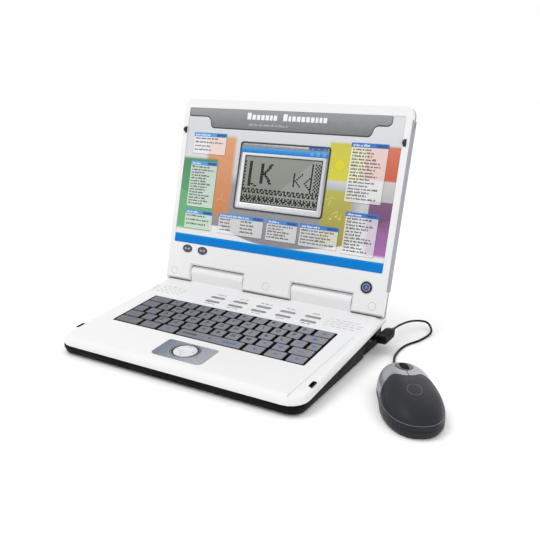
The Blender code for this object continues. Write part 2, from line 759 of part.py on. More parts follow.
# ---- cord and plug ----------------------------------------------------------------
def plug_and_port():
    port = make("mouse_port", rod(7.2, 139.0, 149.8, PORT_S, PORT_Z, 32), ROOT)
    carve(port, rod(5.3, 142.0, 152, PORT_S, PORT_Z, 24))
    paint(port, (0.04, 0.04, 0.045), 0.45, smooth=40)

    plug = make("mouse_plug", rod(5.0, 143.5, 166.0, PORT_S, PORT_Z, 24), ROOT)
    grip = loft(
        [
            [(x, y0, z) for x, z in PLUG_SECTION]
            for y0 in (PORT_S - 6.5, PORT_S + 20.0)
        ]
        + [[(163.75 + (x - 163.75) * 0.75, PORT_S + 27.5, 20 + (z - 20) * 0.75) for x, z in PLUG_SECTION]]
    )
    join(plug, grip)
    paint(plug, (0.03, 0.03, 0.03), 0.5, smooth=35)


def catmull(points, per_span):
    """A smooth curve through the points, sampled evenly along each span."""
    ends = [points[0] * 2 - points[1], *points, points[-1] * 2 - points[-2]]
    out = []
    for a, b, c, d in zip(ends, ends[1:], ends[2:], ends[3:]):
        for i in range(per_span):
            t = i / per_span
            out.append(
                0.5
                * (
                    2 * b
                    + (c - a) * t
                    + (2 * a - 5 * b + 4 * c - d) * t * t
                    + (3 * b - a - 3 * c + d) * t**3
                )
            )
    out.append(points[-1])
    return out


def cord():
    nose = MOUSE @ (Vector((0, MOUSE_LENGTH / 2 + GAP, 6.4)) * MM)
    ahead = MOUSE @ (Vector((0, MOUSE_LENGTH / 2 + 16, 4.6)) * MM)
    path = [ROOT @ (Vector(p) * MM) for p in CORD_THROUGH] + [ahead, nose]
    points = catmull(path, 7)
    curve = bpy.data.curves.new("mouse_cord", "CURVE")
    curve.dimensions = "3D"
    curve.bevel_depth = CORD_D / 2 * MM
    curve.bevel_resolution = 2
    curve.resolution_u = 1
    curve.render_resolution_u = 0
    curve.use_fill_caps = True
    spline = curve.splines.new("POLY")
    spline.points.add(len(points) - 1)
    for target, point in zip(spline.points, points):
        target.co = (*point, 1)
    obj = bpy.data.objects.new("mouse_cord", curve)
    bpy.context.scene.collection.objects.link(obj)
    material = bpy.data.materials.new("mouse_cord")
    material.use_nodes = True
    shader = material.node_tree.nodes["Principled BSDF"]
    shader.inputs["Base Color"].default_value = (0.02, 0.02, 0.02, 1)
    shader.inputs["Roughness"].default_value = 0.5
    curve.materials.append(material)


def main():
    for obj in list(bpy.data.objects):
        bpy.data.objects.remove(obj)
    base_top_shell()
    base_bottom_shell()
    battery_bay()
    base_insides()
    touch_area()
    keyboard()
    function_buttons()
    feet()
    hinge_pins()
    lid_shells()
    lid_pieces()
    mouse()
    plug_and_port()
    cord()


main()
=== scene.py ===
"""Looks of the toy laptop computer and its corded mouse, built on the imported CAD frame.

Lengths are millimetres inside the part's own local frames and metres in the scene.
BASE lies on the deck's top plane, FACE on the lid's front face (x to the right, y up
the lid, z towards the user), MOUSE on the table under the mouse with y to its nose.
"""

import math
import random

import bmesh
import bpy
from mathutils import Matrix, Vector


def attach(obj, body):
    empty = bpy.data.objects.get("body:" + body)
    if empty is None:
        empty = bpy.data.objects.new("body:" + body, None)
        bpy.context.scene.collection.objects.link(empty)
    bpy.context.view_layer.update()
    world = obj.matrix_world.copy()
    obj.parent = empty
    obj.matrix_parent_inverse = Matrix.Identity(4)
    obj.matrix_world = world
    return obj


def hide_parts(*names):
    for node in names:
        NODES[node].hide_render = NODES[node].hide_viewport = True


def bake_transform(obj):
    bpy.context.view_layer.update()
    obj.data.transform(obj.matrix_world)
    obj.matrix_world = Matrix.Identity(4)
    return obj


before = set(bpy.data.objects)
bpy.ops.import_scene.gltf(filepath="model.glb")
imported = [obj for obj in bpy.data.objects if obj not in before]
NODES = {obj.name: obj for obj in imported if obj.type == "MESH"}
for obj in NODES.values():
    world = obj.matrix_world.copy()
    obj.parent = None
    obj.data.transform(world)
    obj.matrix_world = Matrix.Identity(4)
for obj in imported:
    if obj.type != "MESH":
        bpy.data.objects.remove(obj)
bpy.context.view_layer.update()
MM = 0.001

# ---- the part's own frames, as in its CAD -------------------------------------------
CENTRE = (59.4, 141.6)        # the box's middle, from the middle of the front edge
SLOPE, TILT = 4.0, 14.0       # rise of the deck, lean of the open lid
FRONT_HEIGHT = 21.0
HALF = 155.0                  # half the laptop's width
HINGE = (223.0, 10.6)         # along the deck, above it
LID_FACE = 9.4                # face in front of the hinge axis
LID_THICK = 16.0
KEY_END, KEY_PITCH = 126.0, 19.7
KEY_FRONT, KEY_DEPTH = 66.0, 16.8
NAV_S = 36.4                  # middle of the touchpad's disc, along the deck
SCREEN = (62.4, 90.6, 176.5)  # half width, foot and top on the lid's face
WINDOW = (53.0, 101.0, 159.0)
TOUCH = (32.5, 15.5, 53.5)    # touchpad plate: half width, front and back
PILLS = [(x, s) for x in (-49.5, -16.5, 16.5, 49.5, 82.5) for s in (179.0, 166.0)]
POWER = (131.0, 19.0)
VOLUME = ((-124.5, 30.0), (-100.5, 30.0))
PLUGS = (-141.0, 0.0, 141.0)
HOUSING = (35.0, 114.5)       # hinge housings, from the middle line
NOTCH = 9.4                   # top of the lid's cut-outs round the housings
LATCH = 150.0
TRAY_CORNER = 18.0
BAND_TOP, BAND_LOW = 11.4, 2.6  # the tray's rim at the front edge, above the table
MOUSE_SIZE = (60.0, 124.0, 32.0)
NOSE_DROP = 0.15              # share of its height that the mouse loses at the nose
LEAN = 12.0                   # how far forward the top of the mouse stands
RIM, SEAM = 8.0, 9.6          # top of the mouse's base, foot of its cover
WHEEL = (33.0, 20.5, 10.5)    # along the mouse, above the table, radius
MOUSE_AT, MOUSE_TURN = (231.4, 80.2), 28.7
PORT = (193.0, 19.5)          # along the side, above the table
CORD_D = 2.6


def shift(x=0.0, y=0.0, z=0.0):
    return Matrix.Translation(Vector((x, y, z)) * MM)


def turn(degrees, axis):
    return Matrix.Rotation(math.radians(degrees), 4, axis)


ROOT = shift(-CENTRE[0], -CENTRE[1])
BASE = ROOT @ shift(z=FRONT_HEIGHT) @ turn(SLOPE, "X")
LID = BASE @ shift(y=HINGE[0], z=HINGE[1]) @ turn(-SLOPE - TILT, "X")
FACE = LID @ shift(y=-LID_FACE) @ turn(90, "X")
BACK = LID @ shift(y=LID_THICK - LID_FACE) @ turn(90, "X") @ turn(180, "Y")
MOUSE = ROOT @ shift(*MOUSE_AT) @ turn(MOUSE_TURN, "Z")
UNDER = ROOT @ shift(z=2.0) @ turn(180, "X")


def put(thing, **values):
    for key, value in values.items():
        setattr(thing, key, value)
    return thing


def linked(name, data):
    obj = bpy.data.objects.new(name, data)
    bpy.context.scene.collection.objects.link(obj)
    return obj


# ---- outlines in millimetres --------------------------------------------------------
def rounded(x0, y0, x1, y1, radius, steps=6):
    """Counter-clockwise; radius is one number or (front right, back right, back left, front left)."""
    radii = radius if isinstance(radius, (list, tuple)) else [radius] * 4
    points = []
    corners = [(x1, y0, -90), (x1, y1, 0), (x0, y1, 90), (x0, y0, 180)]
    for (x, y, start), r in zip(corners, radii):
        cx = x - r if x == x1 else x + r
        cy = y - r if y == y1 else y + r
        for i in range(steps + 1):
            a = math.radians(start + 90 * i / steps)
            points.append((cx + r * math.cos(a), cy + r * math.sin(a)))
    return points


def block(x, y, half_x, half_y, radius, steps=6):
    return rounded(x - half_x, y - half_y, x + half_x, y + half_y, radius, steps)


def ellipse(rx, ry=None, x=0.0, y=0.0, n=40):
    ry = rx if ry is None else ry
    turns = [2 * math.pi * i / n for i in range(n)]
    return [(x + rx * math.cos(a), y + ry * math.sin(a)) for a in turns]


def circles(outer, inner, place, n):
    return [ellipse(r, x=place[0], y=place[1], n=n) for r in (outer, inner)]


def spun(points, degrees, x, y):
    """The points turned about the origin, then moved to a place."""
    c, s = math.cos(math.radians(degrees)), math.sin(math.radians(degrees))
    return [(x + u * c - v * s, y + u * s + v * c) for u, v in points]


def stroke(half_length, half_width):
    return [
        (-half_length, -half_width), (half_length, -half_width), (half_length, half_width),
        (-half_length, half_width),
    ]


def grown(outline, d):
    """The outline moved outwards by d, or inwards where d is negative."""
    out = []
    n = len(outline)
    for i in range(n):
        p, q, r = (Vector(outline[(i + k) % n]) for k in (-1, 0, 1))
        a, b = (q - p).normalized(), (r - q).normalized()
        normal = Vector((a.y + b.y, -a.x - b.x))
        if normal.length < 1e-6:
            out.append(tuple(q))
            continue
        normal.normalize()
        lean = max(0.35, normal.dot(Vector((a.y, -a.x))))
        out.append(tuple(q + normal * d / lean))
    return out


def softened(points, radius, steps=4):
    """A polygon with each corner rounded."""
    out = []
    n = len(points)
    for i in range(n):
        p, q, r = (Vector(points[(i + k) % n]) for k in (-1, 0, 1))
        a, b = p - q, r - q
        reach = min(radius, a.length / 2.2, b.length / 2.2)
        start, end = q + a.normalized() * reach, q + b.normalized() * reach
        for k in range(steps + 1):
            t = k / steps
            out.append(tuple(start * (1 - t) ** 2 + q * 2 * t * (1 - t) + end * t * t))
    return out


def at(outline, z):
    return [(x, y, z) for x, y in outline]


def shrunk(ring, cx, cy, share, z):
    return [(cx + (x - cx) * share, cy + (y - cy) * share, z) for x, y, *_ in ring]


# ---- meshes -------------------------------------------------------------------------
def face_out(data):
    bm = bmesh.new()
    bm.from_mesh(data)
    bmesh.ops.recalc_face_normals(bm, faces=bm.faces)
    bm.to_mesh(data)
    bm.free()


class Shape:
    """Closed bodies gathered in one local frame, made into one piece of the scene."""

    def __init__(self):
        self.points = []
        self.faces = []
        self.paints = []

    def add(self, points, faces, paint=0):
        start = len(self.points)
        self.points.extend(points)
        self.faces.extend(tuple(start + i for i in face) for face in faces)
        self.paints.extend([paint] * len(faces))
        return self

    def loft(self, rings, paint=0, close=False):
        n = len(rings[0])
        faces = []
        for k in range(len(rings) if close else len(rings) - 1):
            a, b = k * n, (k + 1) % len(rings) * n
            faces += [(a + i, a + (i + 1) % n, b + (i + 1) % n, b + i) for i in range(n)]
        if not close:
            top = (len(rings) - 1) * n
            faces += [tuple(reversed(range(n))), tuple(range(top, top + n))]
        return self.add([point for ring in rings for point in ring], faces, paint)

    def slab(self, outline, low, high, edge=0.0, paint=0, steps=3, dish=0.0):
        """A plate with a rounded top edge, and a slightly hollow top where dish is given."""
        rings = [at(outline, low)]
        if edge <= 0:
            rings.append(at(outline, high))
        for i in range(steps + 1 if edge > 0 else 0):
            a = math.radians(90 * i / steps)
            inset = edge * (1 - math.cos(a))
            rings.append(at(grown(outline, -inset), high - edge * (1 - math.sin(a))))
        if dish:
            cx, cy = (sum(p[k] for p in outline) / len(outline) for k in (0, 1))
            top = rings[-1]
            rings += [shrunk(top, cx, cy, share, high - dish * (1 - share**2)) for share in (0.7, 0.35)]
        return self.loft(rings, paint)

    def ring(self, outer, inner, low, high, edge=0.2, paint=0):
        """A flat hoop between two outlines of as many points."""
        soft = grown(outer, -edge), grown(inner, edge)
        rings = [
            at(outer, low), at(outer, high - edge), at(soft[0], high),
            at(soft[1], high), at(inner, high - edge), at(inner, low),
        ]
        return self.loft(rings, paint, close=True)

    def bar(self, x0, y0, x1, y1, low, high):
        return self.slab([(x0, y0), (x1, y0), (x1, y1), (x0, y1)], low, high)

    def tube(self, path, radius, sides=8, close=False):
        """A round bar along points of the local frame."""
        points = [Vector(p) for p in path]
        n = len(points)
        rings = []
        side = None
        for i, point in enumerate(points):
            before = points[i - 1] if i > 0 or close else point
            after = points[(i + 1) % n] if i < n - 1 or close else point
            along = (after - before).normalized()
            if side is None:
                side = along.orthogonal().normalized()
            side = (side - along * side.dot(along)).normalized()
            other = along.cross(side)
            r = radius[i] if isinstance(radius, (list, tuple)) else radius
            turns = [2 * math.pi * k / sides for k in range(sides)]
            rings.append([tuple(point + (side * math.cos(a) + other * math.sin(a)) * r) for a in turns])
        return self.loft(rings, close=close)

    def piece(self, name, where, body, slot, *materials, smooth=35, replaces=()):
        """The shape as an object that rides on a body, where one is given."""
        data = bpy.data.meshes.new(name)
        data.from_pydata([where @ (Vector(p) * MM) for p in self.points], [], self.faces)
        for material in materials:
            data.materials.append(material)
        for polygon, paint in zip(data.polygons, self.paints):
            polygon.material_index = paint
        face_out(data)
        return settle(linked(name, data), body, smooth, replaces)


def smoothed(data, angle):
    data.shade_smooth()
    data.set_sharp_from_angle(angle=math.radians(angle))


def settle(obj, body, smooth, replaces):
    smoothed(obj.data, smooth)
    if body:
        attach(obj, body)
    if replaces:
        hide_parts(*replaces)
    return obj


# ---- materials ----------------------------------------------------------------------
LIT = 0.8                     # share of its screen colour that a surface reflects, as the studio is bright


def rgb(code):
    """Linear colour of a screen colour written as six hex digits."""
    values = [int(code[i : i + 2], 16) / 255 for i in (0, 2, 4)]
    return tuple(LIT * (v / 12.92 if v <= 0.04045 else ((v + 0.055) / 1.055) ** 2.4) for v in values)


class Graph:
    """Short names for the nodes that the materials are built from."""

    SOCKETS = {
        "colour": "Base Color", "rough": "Roughness", "metal": "Metallic", "coat": "Coat Weight",
        "coat_rough": "Coat Roughness", "specular": "Specular IOR Level",
    }

    def __init__(self, name, where=None):
        self.material = bpy.data.materials.new(name)
        self.material.use_nodes = True
        self.tree = self.material.node_tree
        self.shader = self.tree.nodes["Principled BSDF"]
        self.place = self.node("ShaderNodeTexCoord").outputs["Object"]
        if where is not None:
            mapping = self.node("ShaderNodeMapping", vector_type="TEXTURE")
            mapping.inputs["Location"].default_value = where.translation
            mapping.inputs["Rotation"].default_value = where.to_euler()
            mapping.inputs["Scale"].default_value = (MM, MM, MM)
            self.link(self.place, mapping.inputs["Vector"])
            self.place = mapping.outputs["Vector"]
            parts = self.node("ShaderNodeSeparateXYZ")
            self.link(self.place, parts.inputs[0])
            self.x, self.y, self.z = parts.outputs

    def node(self, kind, **settings):
        return put(self.tree.nodes.new(kind), **settings)

    def link(self, source, target):
        if isinstance(source, bpy.types.NodeSocket):
            self.tree.links.new(source, target)
        else:
            target.default_value = source

    def fill(self, made, values, output):
        for key, value in values.items():
            self.link(value, made.inputs[key])
        return made.outputs[output]

    def math(self, operation, *values, clamp=False):
        made = self.node("ShaderNodeMath", operation=operation, use_clamp=clamp)
        return self.fill(made, dict(enumerate(values)), 0)

    def times(self, a, b, clamp=False):
        return self.math("MULTIPLY", a, b, clamp=clamp)

    def noise(self, scale, detail=2.0, roughness=0.5):
        settings = {"Scale": scale, "Detail": detail, "Roughness": roughness, "Vector": self.place}
        return self.fill(self.node("ShaderNodeTexNoise"), settings, "Fac")

    def spread(self, value, low, high, start=0.3, end=0.7):
        settings = {"From Min": start, "From Max": end, "To Min": low, "To Max": high, "Value": value}
        return self.fill(self.node("ShaderNodeMapRange"), settings, "Result")

    def mix(self, factor, a, b):
        a, b = (v if isinstance(v, bpy.types.NodeSocket) else (*v, 1) for v in (a, b))
        return self.fill(self.node("ShaderNodeMix", data_type="RGBA"), {"Factor": factor, 6: a, 7: b}, 2)

    def box(self, x0, y0, x1, y1, soft=0.3):
        """1 inside a rectangle of the local plane, 0 outside, over a soft edge."""
        sides = []
        for value, low, high in ((self.x, x0, x1), (self.y, y0, y1)):
            away = self.math("ABSOLUTE", self.math("SUBTRACT", value, (low + high) / 2))
            inside = self.math("SUBTRACT", (high - low) / 2, away)
            sides.append(self.math("MULTIPLY_ADD", inside, 1 / soft, 0.5, clamp=True))
        return self.times(*sides)

    def bump(self, height, strength, distance):
        settings = {"Strength": strength, "Distance": distance, "Height": height}
        self.link(self.fill(self.node("ShaderNodeBump"), settings, "Normal"), self.shader.inputs["Normal"])

    def set(self, **values):
        for key, value in values.items():
            if isinstance(value, tuple) and len(value) == 3:
                value = (*value, 1)
            self.link(value, self.shader.inputs[self.SOCKETS[key]])
        return self.material


def plastic(
    name, code, rough=0.35, vary=0.03, grain=900.0, depth=0.00002, metal=0.0, coat=0.0, specular=0.5
):
    """Moulded plastic: faint clouds in its colour, uneven gloss and a fine grain."""
    g = Graph(name)
    colour = rgb(code)
    light = tuple(min(1.0, c * (1 + vary) + vary * 0.01) for c in colour)
    dark = tuple(c * (1 - vary) for c in colour)
    clouds = g.mix(g.spread(g.noise(22.0, 3.0), 0.0, 1.0), dark, light)
    g.set(colour=clouds, metal=metal, coat=coat, coat_rough=0.12, specular=specular)
    smears = g.noise(60.0, 4.0, 0.6)
    g.set(rough=g.spread(smears, max(0.03, rough * 0.85), min(1.0, rough * 1.18)))
    g.bump(g.noise(grain, 2.0, 0.6), 0.35, depth)
    return g.material


def print_and_shade_ramp(name, where, left, right, x0, x1, rough=0.35, metal=0.3, grain=900.0, up=False):
    """A colour that runs from one to another across a piece: printed ramps on the card and the screen's title
    bar, painted shade across the keys, painted highlight on the screen's bevel, and plain ramps on the
    touchpad and the screen's surround.
    """
    g = Graph(name, where)
    share = g.spread(g.y if up else g.x, 0.0, 1.0, x0, x1)
    share = g.math("ADD", share, g.spread(g.noise(0.12, 3.0), -0.08, 0.08), clamp=True)
    g.set(colour=g.mix(share, rgb(left), rgb(right)), metal=metal)
    g.set(rough=g.spread(g.noise(0.5, 4.0), rough * 0.85, rough * 1.15))
    g.bump(g.noise(grain * MM, 2.0), 0.3, 0.01 * MM)
    return g.material


def repaint(node, material, edge=0.0, angle=32):
    """A CAD node's finish, and rounded edges by a modifier that leaves its mesh as it is."""
    data = NODES[node].data
    data.materials.clear()
    data.materials.append(material)
    smoothed(data, 32)
    if edge:
        put(
            NODES[node].modifiers.new("edge", "BEVEL"),
            width=edge * MM, segments=2, limit_method="ANGLE", angle_limit=math.radians(angle),
            miter_outer="MITER_ARC", harden_normals=True,
        )


# ---- camera, floor and light --------------------------------------------------------
WIDTH = 310 * MM              # the camera's place is told in widths of the laptop
AZIMUTH, ELEVATION, ROLL = (math.radians(v) for v in (32.164, 18.352, -0.084))
AIM, DISTANCE = (-0.03, 0.423, 0.2), 2.673
LENS, SHIFT = 47.24, (0.0833, 0.0407)
LIGHTS = [
    # name, place, size, power, aim
    ("key", (-0.7, -0.5, 1.9), (0.9, 0.9), 9.0, (0, 0, 0.05)),
    ("fill", (1.5, -1.2, 0.9), (1.2, 1.2), 2.0, (0, 0, 0.1)),
    ("rim", (0.3, 1.6, 1.5), (1.6, 0.8), 3.0, (0, 0, 0.1)),
]


def studio():
    level = math.cos(ELEVATION)
    back = Vector((math.sin(AZIMUTH) * level, -math.cos(AZIMUTH) * level, math.sin(ELEVATION)))
    target = Vector([share * WIDTH for share in AIM]) - Vector((*CENTRE, 0)) * MM
    right = (-back).cross(Vector((0, 0, 1))).normalized()
    up = right.cross(-back)
    axes = (
        right * math.cos(ROLL) + up * math.sin(ROLL), up * math.cos(ROLL) - right * math.sin(ROLL), back
    )
    camera = linked("camera", bpy.data.cameras.new("camera"))
    camera.matrix_world = (
        Matrix.Translation(target + back * (DISTANCE * WIDTH)) @ Matrix(axes).transposed().to_4x4()
    )
    put(camera.data, lens=LENS, sensor_width=36.0, shift_x=SHIFT[0], shift_y=SHIFT[1], clip_start=0.01)
    bpy.context.scene.camera = camera

    world = put(bpy.data.worlds.new("studio"), use_nodes=True)
    bpy.context.scene.world = world
    world.node_tree.nodes["Background"].inputs["Color"].default_value = (1.0, 1.0, 1.0, 1)
    world.node_tree.nodes["Background"].inputs["Strength"].default_value = 1.0
    bpy.context.scene.view_settings.view_transform = "Standard"
    for name, place, size, power, aim in LIGHTS:
        data = put(bpy.data.lights.new(name, "AREA"), shape="RECTANGLE", energy=power)
        data.size, data.size_y = size
        facing = (Vector(aim) - Vector(place)).to_track_quat("-Z", "Y")
        put(linked(name, data), location=place, rotation_mode="QUATERNION", rotation_quaternion=facing)

    data = bpy.data.meshes.new("floor")
    data.from_pydata(at(stroke(6, 6), 0), [], [(0, 1, 2, 3)])
    g = Graph("floor")
    cloud = g.spread(g.noise(3.0, 3.0), 0.0, 1.0)
    g.set(colour=g.mix(cloud, (0.985, 0.985, 0.985), (1.0, 1.0, 1.0)), rough=0.9, specular=0.0)
    data.materials.append(g.material)
    linked("floor", data)


studio()

# ---- finishes -----------------------------------------------------------------------
WHITE = plastic("white_shell", "FAFAFB", 0.34, 0.004, 1400.0, 0.0000015, coat=0.1)
DARK = plastic("black_tray", "08080A", 0.6, 0.05, 1500.0, 0.000008, specular=0.12)
BLACK = plastic("deep_black", "101013", 0.5, 0.1)
GREY_LINE = plastic("parting_line", "9FA1A6", 0.5)
INK = plastic("dark_print", "17181C", 0.55, 0.05)
BLUE_INK = plastic("blue_print", "2B6FBE", 0.5, 0.05)
MARK_GREY = plastic("grey_print", "6E7077", 0.55, 0.05)
# the keys' grey, darker on the left and lighter on the right: a ramp of painted shade
KEY_GREY_AND_SHADE = print_and_shade_ramp("key_grey_painted_shade", BASE, "5F6069", "8E8F97", -110.0, 60.0, 0.4, 0.0)
PILL = plastic("pill_grey", "8D8F95", 0.25, 0.06, 1200.0, 0.00002, metal=0.35, coat=0.3)
STEEL = plastic("bright_steel", "B5B7BA", 0.25, 0.04, 500.0, 0.00001, metal=1.0)
FOOT = plastic("foot_rubber", "17171A", 0.8, 0.1, 800.0, 0.00006)
CHARCOAL = plastic("charcoal", "2A2B30", 0.45, 0.04, 1500.0, 0.00001, specular=0.2)
COVER = plastic("cover_charcoal", "26272D", 0.42, 0.03, 1500.0, 0.000008, specular=0.22)
SILVER = plastic("mouse_silver", "B4B5BC", 0.32, 0.02, 1500.0, 0.000005, metal=0.5, coat=0.1)
RUBBER = plastic("wheel_rubber", "101113", 0.6, 0.08, 900.0, 0.00005, specular=0.2)
GLOSS = plastic("gloss_black", "060608", 0.15, 0.1, specular=0.3)
GLOSS_BLACK = plastic("plug_black", "060608", 0.25, 0.08, 1500.0, 0.00002, specular=0.3)


# ---- deck ---------------------------------------------------------------------------
GROOVE = [(139.2, 3.0), (139.6, 12.0), (140.8, 40.0), (142.4, 80.0), (143.6, 115.0), (144.4, 150.0)]
LINE = 0.35


def deck():
    repaint("base_top_shell", WHITE, 0.35, 40)
    repaint("base_bottom_shell", DARK, 0.6, 35)
    lines = Shape()
    for (x0, y0), (x1, y1) in zip(GROOVE, GROOVE[1:]):
        lines.slab([(x0, y0), (x0 + LINE, y0), (x1 + LINE, y1), (x1, y1)], -0.1, 0.03)
    lines.piece("deck_groove", BASE, "base", "white_shell", GREY_LINE)
    # the well's dark floor and lip show round and between the keys
    end, front, back = KEY_END + 0.7, KEY_FRONT - 0.7, KEY_FRONT + 5 * KEY_DEPTH + 0.7
    inner = rounded(-end + 0.5, front + 0.5, end - 0.5, back - 0.5, 1.0, 3)
    well = Shape().ring(rounded(-end, front, end, back, 1.5, 3), inner, -2.4, -0.05, 0.12)
    well.piece("key_well_lip", BASE, "base", "membrane", BLACK)


# ---- keyboard -----------------------------------------------------------------------
CAP_Z = 0.62
PAINTED_SHADE_BELOW = 0.1              # the caps' sides are painted black up to here: painted shade from the well
LETTER = 5.2
ICON_SHARE = 0.62             # size of an icon that stands beside a letter
ICONS = {
    "left": [(-2.6, 0), (0, -2.2), (0, -0.8), (2.6, -0.8), (2.6, 0.8), (0, 0.8), (0, 2.2)],
    "right": [(2.6, 0), (0, 2.2), (0, 0.8), (-2.6, 0.8), (-2.6, -0.8), (0, -0.8), (0, -2.2)],
    "up": [(0, 2.4), (-2.3, 0), (-0.9, 0), (-0.9, -2.4), (0.9, -2.4), (0.9, 0), (2.3, 0)],
    "down": [(0, -2.4), (2.3, 0), (0.9, 0), (0.9, 2.4), (-0.9, 2.4), (-0.9, 0), (-2.3, 0)],
    "drop": ellipse(3.0, 2.3, n=14),
    "bars": [(-3.4, -0.5), (3.4, -0.5), (3.4, 0.7), (-3.4, 0.7)],
    "pair": [(-2.6, -1.4), (2.6, -1.4), (2.0, 1.4), (-2.0, 1.4)],
}


def glyph(text, height, x, y, z):
    """Points and faces of a thin solid letter round a place."""
    curve = bpy.data.curves.new("glyph", "FONT")
    put(curve, body=text, size=height / 0.7, align_x="CENTER", extrude=0.16, resolution_u=3, offset=0.14)
    obj = bpy.data.objects.new("glyph", curve)
    mesh = bpy.data.meshes.new_from_object(obj)
    points = [(x + v.co.x, y + (v.co.y - height / 2), z + v.co.z) for v in mesh.vertices]
    faces = [tuple(p.vertices) for p in mesh.polygons]
    bpy.data.objects.remove(obj)
    bpy.data.meshes.remove(mesh)
    bpy.data.curves.remove(curve)
    return points, faces


def caps(name, row, splits, legends):
    """A row of separate-looking keys with dished tops; legends are (text, icon) per key."""
    front = KEY_FRONT + (5 - row) * KEY_DEPTH
    back = front + KEY_DEPTH
    keys, dark, blue = Shape(), Shape(), Shape()
    for x0, x1, (text, icon) in zip(splits, splits[1:], legends):
        foot = rounded(x0 + 2.0, front + 0.9, x1 - 2.0, back - 0.9, 1.0, 4)
        top = rounded(x0 + 2.4, front + 1.6, x1 - 2.4, back - 1.2, 1.3, 4)
        rings = [at(foot, -4.2), at(foot, -0.9)]
        for i in range(4):
            rise = math.sin(math.radians(30 * i))
            share = 0.4 + 0.6 * rise
            ring = [(p[0] + (q[0] - p[0]) * share, p[1] + (q[1] - p[1]) * share) for p, q in zip(foot, top)]
            rings.append(at(ring, CAP_Z - 0.55 * (1 - rise)))
        cx, cy = (x0 + x1) / 2, (front + back) / 2 + 0.4
        rings += [shrunk(top, cx, cy, share, CAP_Z - 0.16 * (1 - share)) for share in (0.75, 0.4)]
        first = len(keys.faces)
        keys.loft(rings)
        for i in range(first, len(keys.faces)):
            # faces low on a cap's sides take the black finish: painted shade
            if max(keys.points[k][2] for k in keys.faces[i]) < PAINTED_SHADE_BELOW:
                keys.paints[i] = 1
        if text:
            left, up = (2.6, 1.6) if icon else (1.0, 0.8)
            dark.add(*glyph(text, LETTER, cx - left, cy + up, CAP_Z - 0.14))
        if icon:
            dx, dy, size = (2.6, -2.4, ICON_SHARE) if text else (0.0, 0.0, 1.0)
            outline = [(cx + dx + x * size, cy + dy + y * size) for x, y in ICONS[icon]]
            blue.slab(outline, CAP_Z - 0.3, CAP_Z + 0.02)
    keys.piece(name + "_caps", BASE, name, "key_cap", KEY_GREY_AND_SHADE, BLACK, smooth=50, replaces=(name,))
    if dark.faces:
        dark.piece(name + "_letters", BASE, name, "key_cap", INK)
    if blue.faces:
        blue.piece(name + "_icons", BASE, name, "key_cap", BLUE_INK)


def splits(start, count):
    return [start + KEY_PITCH * i for i in range(count + 1)]


def legends(*keys):
    """Names of icons stand for one key each, and other words for one key a letter."""
    out = []
    for key in keys:
        out += [("", key)] if key in ICONS else [(letter, None) for letter in key]
    return out


def keyboard():
    end = KEY_END
    icons = ["drop", "bars", "pair", "bars", "drop", "pair", "bars", "drop", "pair", "bars"]
    fourth = legends("up", "bars", "Z", "XCVBNM", "up", "drop", "bars")
    fourth[2] = ("Z", "pair")
    for name, row, parts, signs in (
        ("escape_key", 1, [-end, -95.3], legends("bars")),
        ("key_row_1", 1, [*splits(-95.3, 10), end], [*zip("1234567890", icons), ("", "left")]),
        ("key_row_2", 2, [-end, *splits(-101.3, 10), end], legends("bars", "QWERTYUIOP", "drop")),
        (
            "key_row_3", 3, [-end, *splits(-107.3, 11), end],
            legends("bars", "pair", "ASDFGHJKL", "bars", "pair"),
        ),
        ("key_row_4", 4, [-end, *splits(-101.0, 10), end], fourth),
        ("key_row_5_left", 5, [-end, -90.0, -63.5, -37.5], legends("bars", "pair", "left")),
        ("space_bar", 5, [-37.5, 50.0], [("", None)]),
        ("key_row_5_right", 5, [50.0, 76.0, 102.0], legends("down", "right")),
        ("enter_key", 5, [102.0, end], legends("left")),
    ):
        caps(name, row, parts, signs)
    marks, blue = Shape(), Shape()
    low, high = CAP_Z - 0.3, CAP_Z + 0.01
    for i in range(6):
        marks.bar(-29.5 + i * 3.2, 72.6, -27.2 + i * 3.2, 75.6, low, high)
    marks.slab(ellipse(1.6, 1.2, x=6, y=74, n=12), low, high)
    for i in range(4):
        blue.bar(24.0 + i * 4.2, 72.4, 27.2 + i * 4.2, 75.8, low, high)
    marks.piece("space_bar_marks", BASE, "space_bar", "key_cap", INK)
    blue.piece("space_bar_icons", BASE, "space_bar", "key_cap", BLUE_INK)


# ---- function buttons, touchpad -----------------------------------------------------
def writing(shape, x0, y, x1, height, draw, low, high):
    """A line of small marks the size of letters, in words, that spell nothing."""
    x = x0
    while x < x1 - height * 0.5:
        for _ in range(draw.randint(2, 7)):
            w = height * draw.uniform(0.22, 0.48)
            if x + w > x1:
                return
            top = y + height * (1.0 if draw.random() < 0.3 else 0.68)
            shape.bar(x, y, x + w, top, low, high)
            x += w + height * 0.15
        x += height * 0.45


def function_buttons():
    draw = random.Random(5)
    words, slits = Shape(), Shape()
    for number, (x, s) in enumerate(PILLS, 1):
        name = f"function_button_{number}"
        pill = Shape().slab(block(x, s, 10, 2.5, 2.45, 8), -3.2, 0.9, 1.3, steps=6)
        pill.piece(name + "_cap", BASE, name, "function_button", PILL, smooth=60, replaces=(name,))
        hoop = Shape().ring(block(x, s, 10.9, 3.4, 3.3), block(x, s, 10.3, 2.8, 2.7), -1.0, 0.12, 0.1)
        hoop.piece(name + "_surround", BASE, "base", "white_shell", WHITE)
        y = 188.0 if s > 170 else 158.4
        width = draw.uniform(4.0, 8.5)
        writing(words, x - width, y, x + width, 2.6, draw, -0.1, 0.03)
    words.piece("button_labels", BASE, "base", "white_shell", MARK_GREY)
    for i in range(4):
        x, y = -147.5 + i * 1.2, 184 - i * 6
        slits.slab([(x, y), (x + 0.9, y), (x + 1.8, y - 3.5), (x + 0.9, y - 3.5)], -0.1, 0.02)
    slits.piece("deck_side_marks", BASE, "base", "white_shell", GREY_LINE)


def touch_outline(grow):
    half, front, back = TOUCH
    return rounded(-half - grow, front - grow, half + grow, back + grow, [6.0, 3.0, 3.0, 6.0], 2)


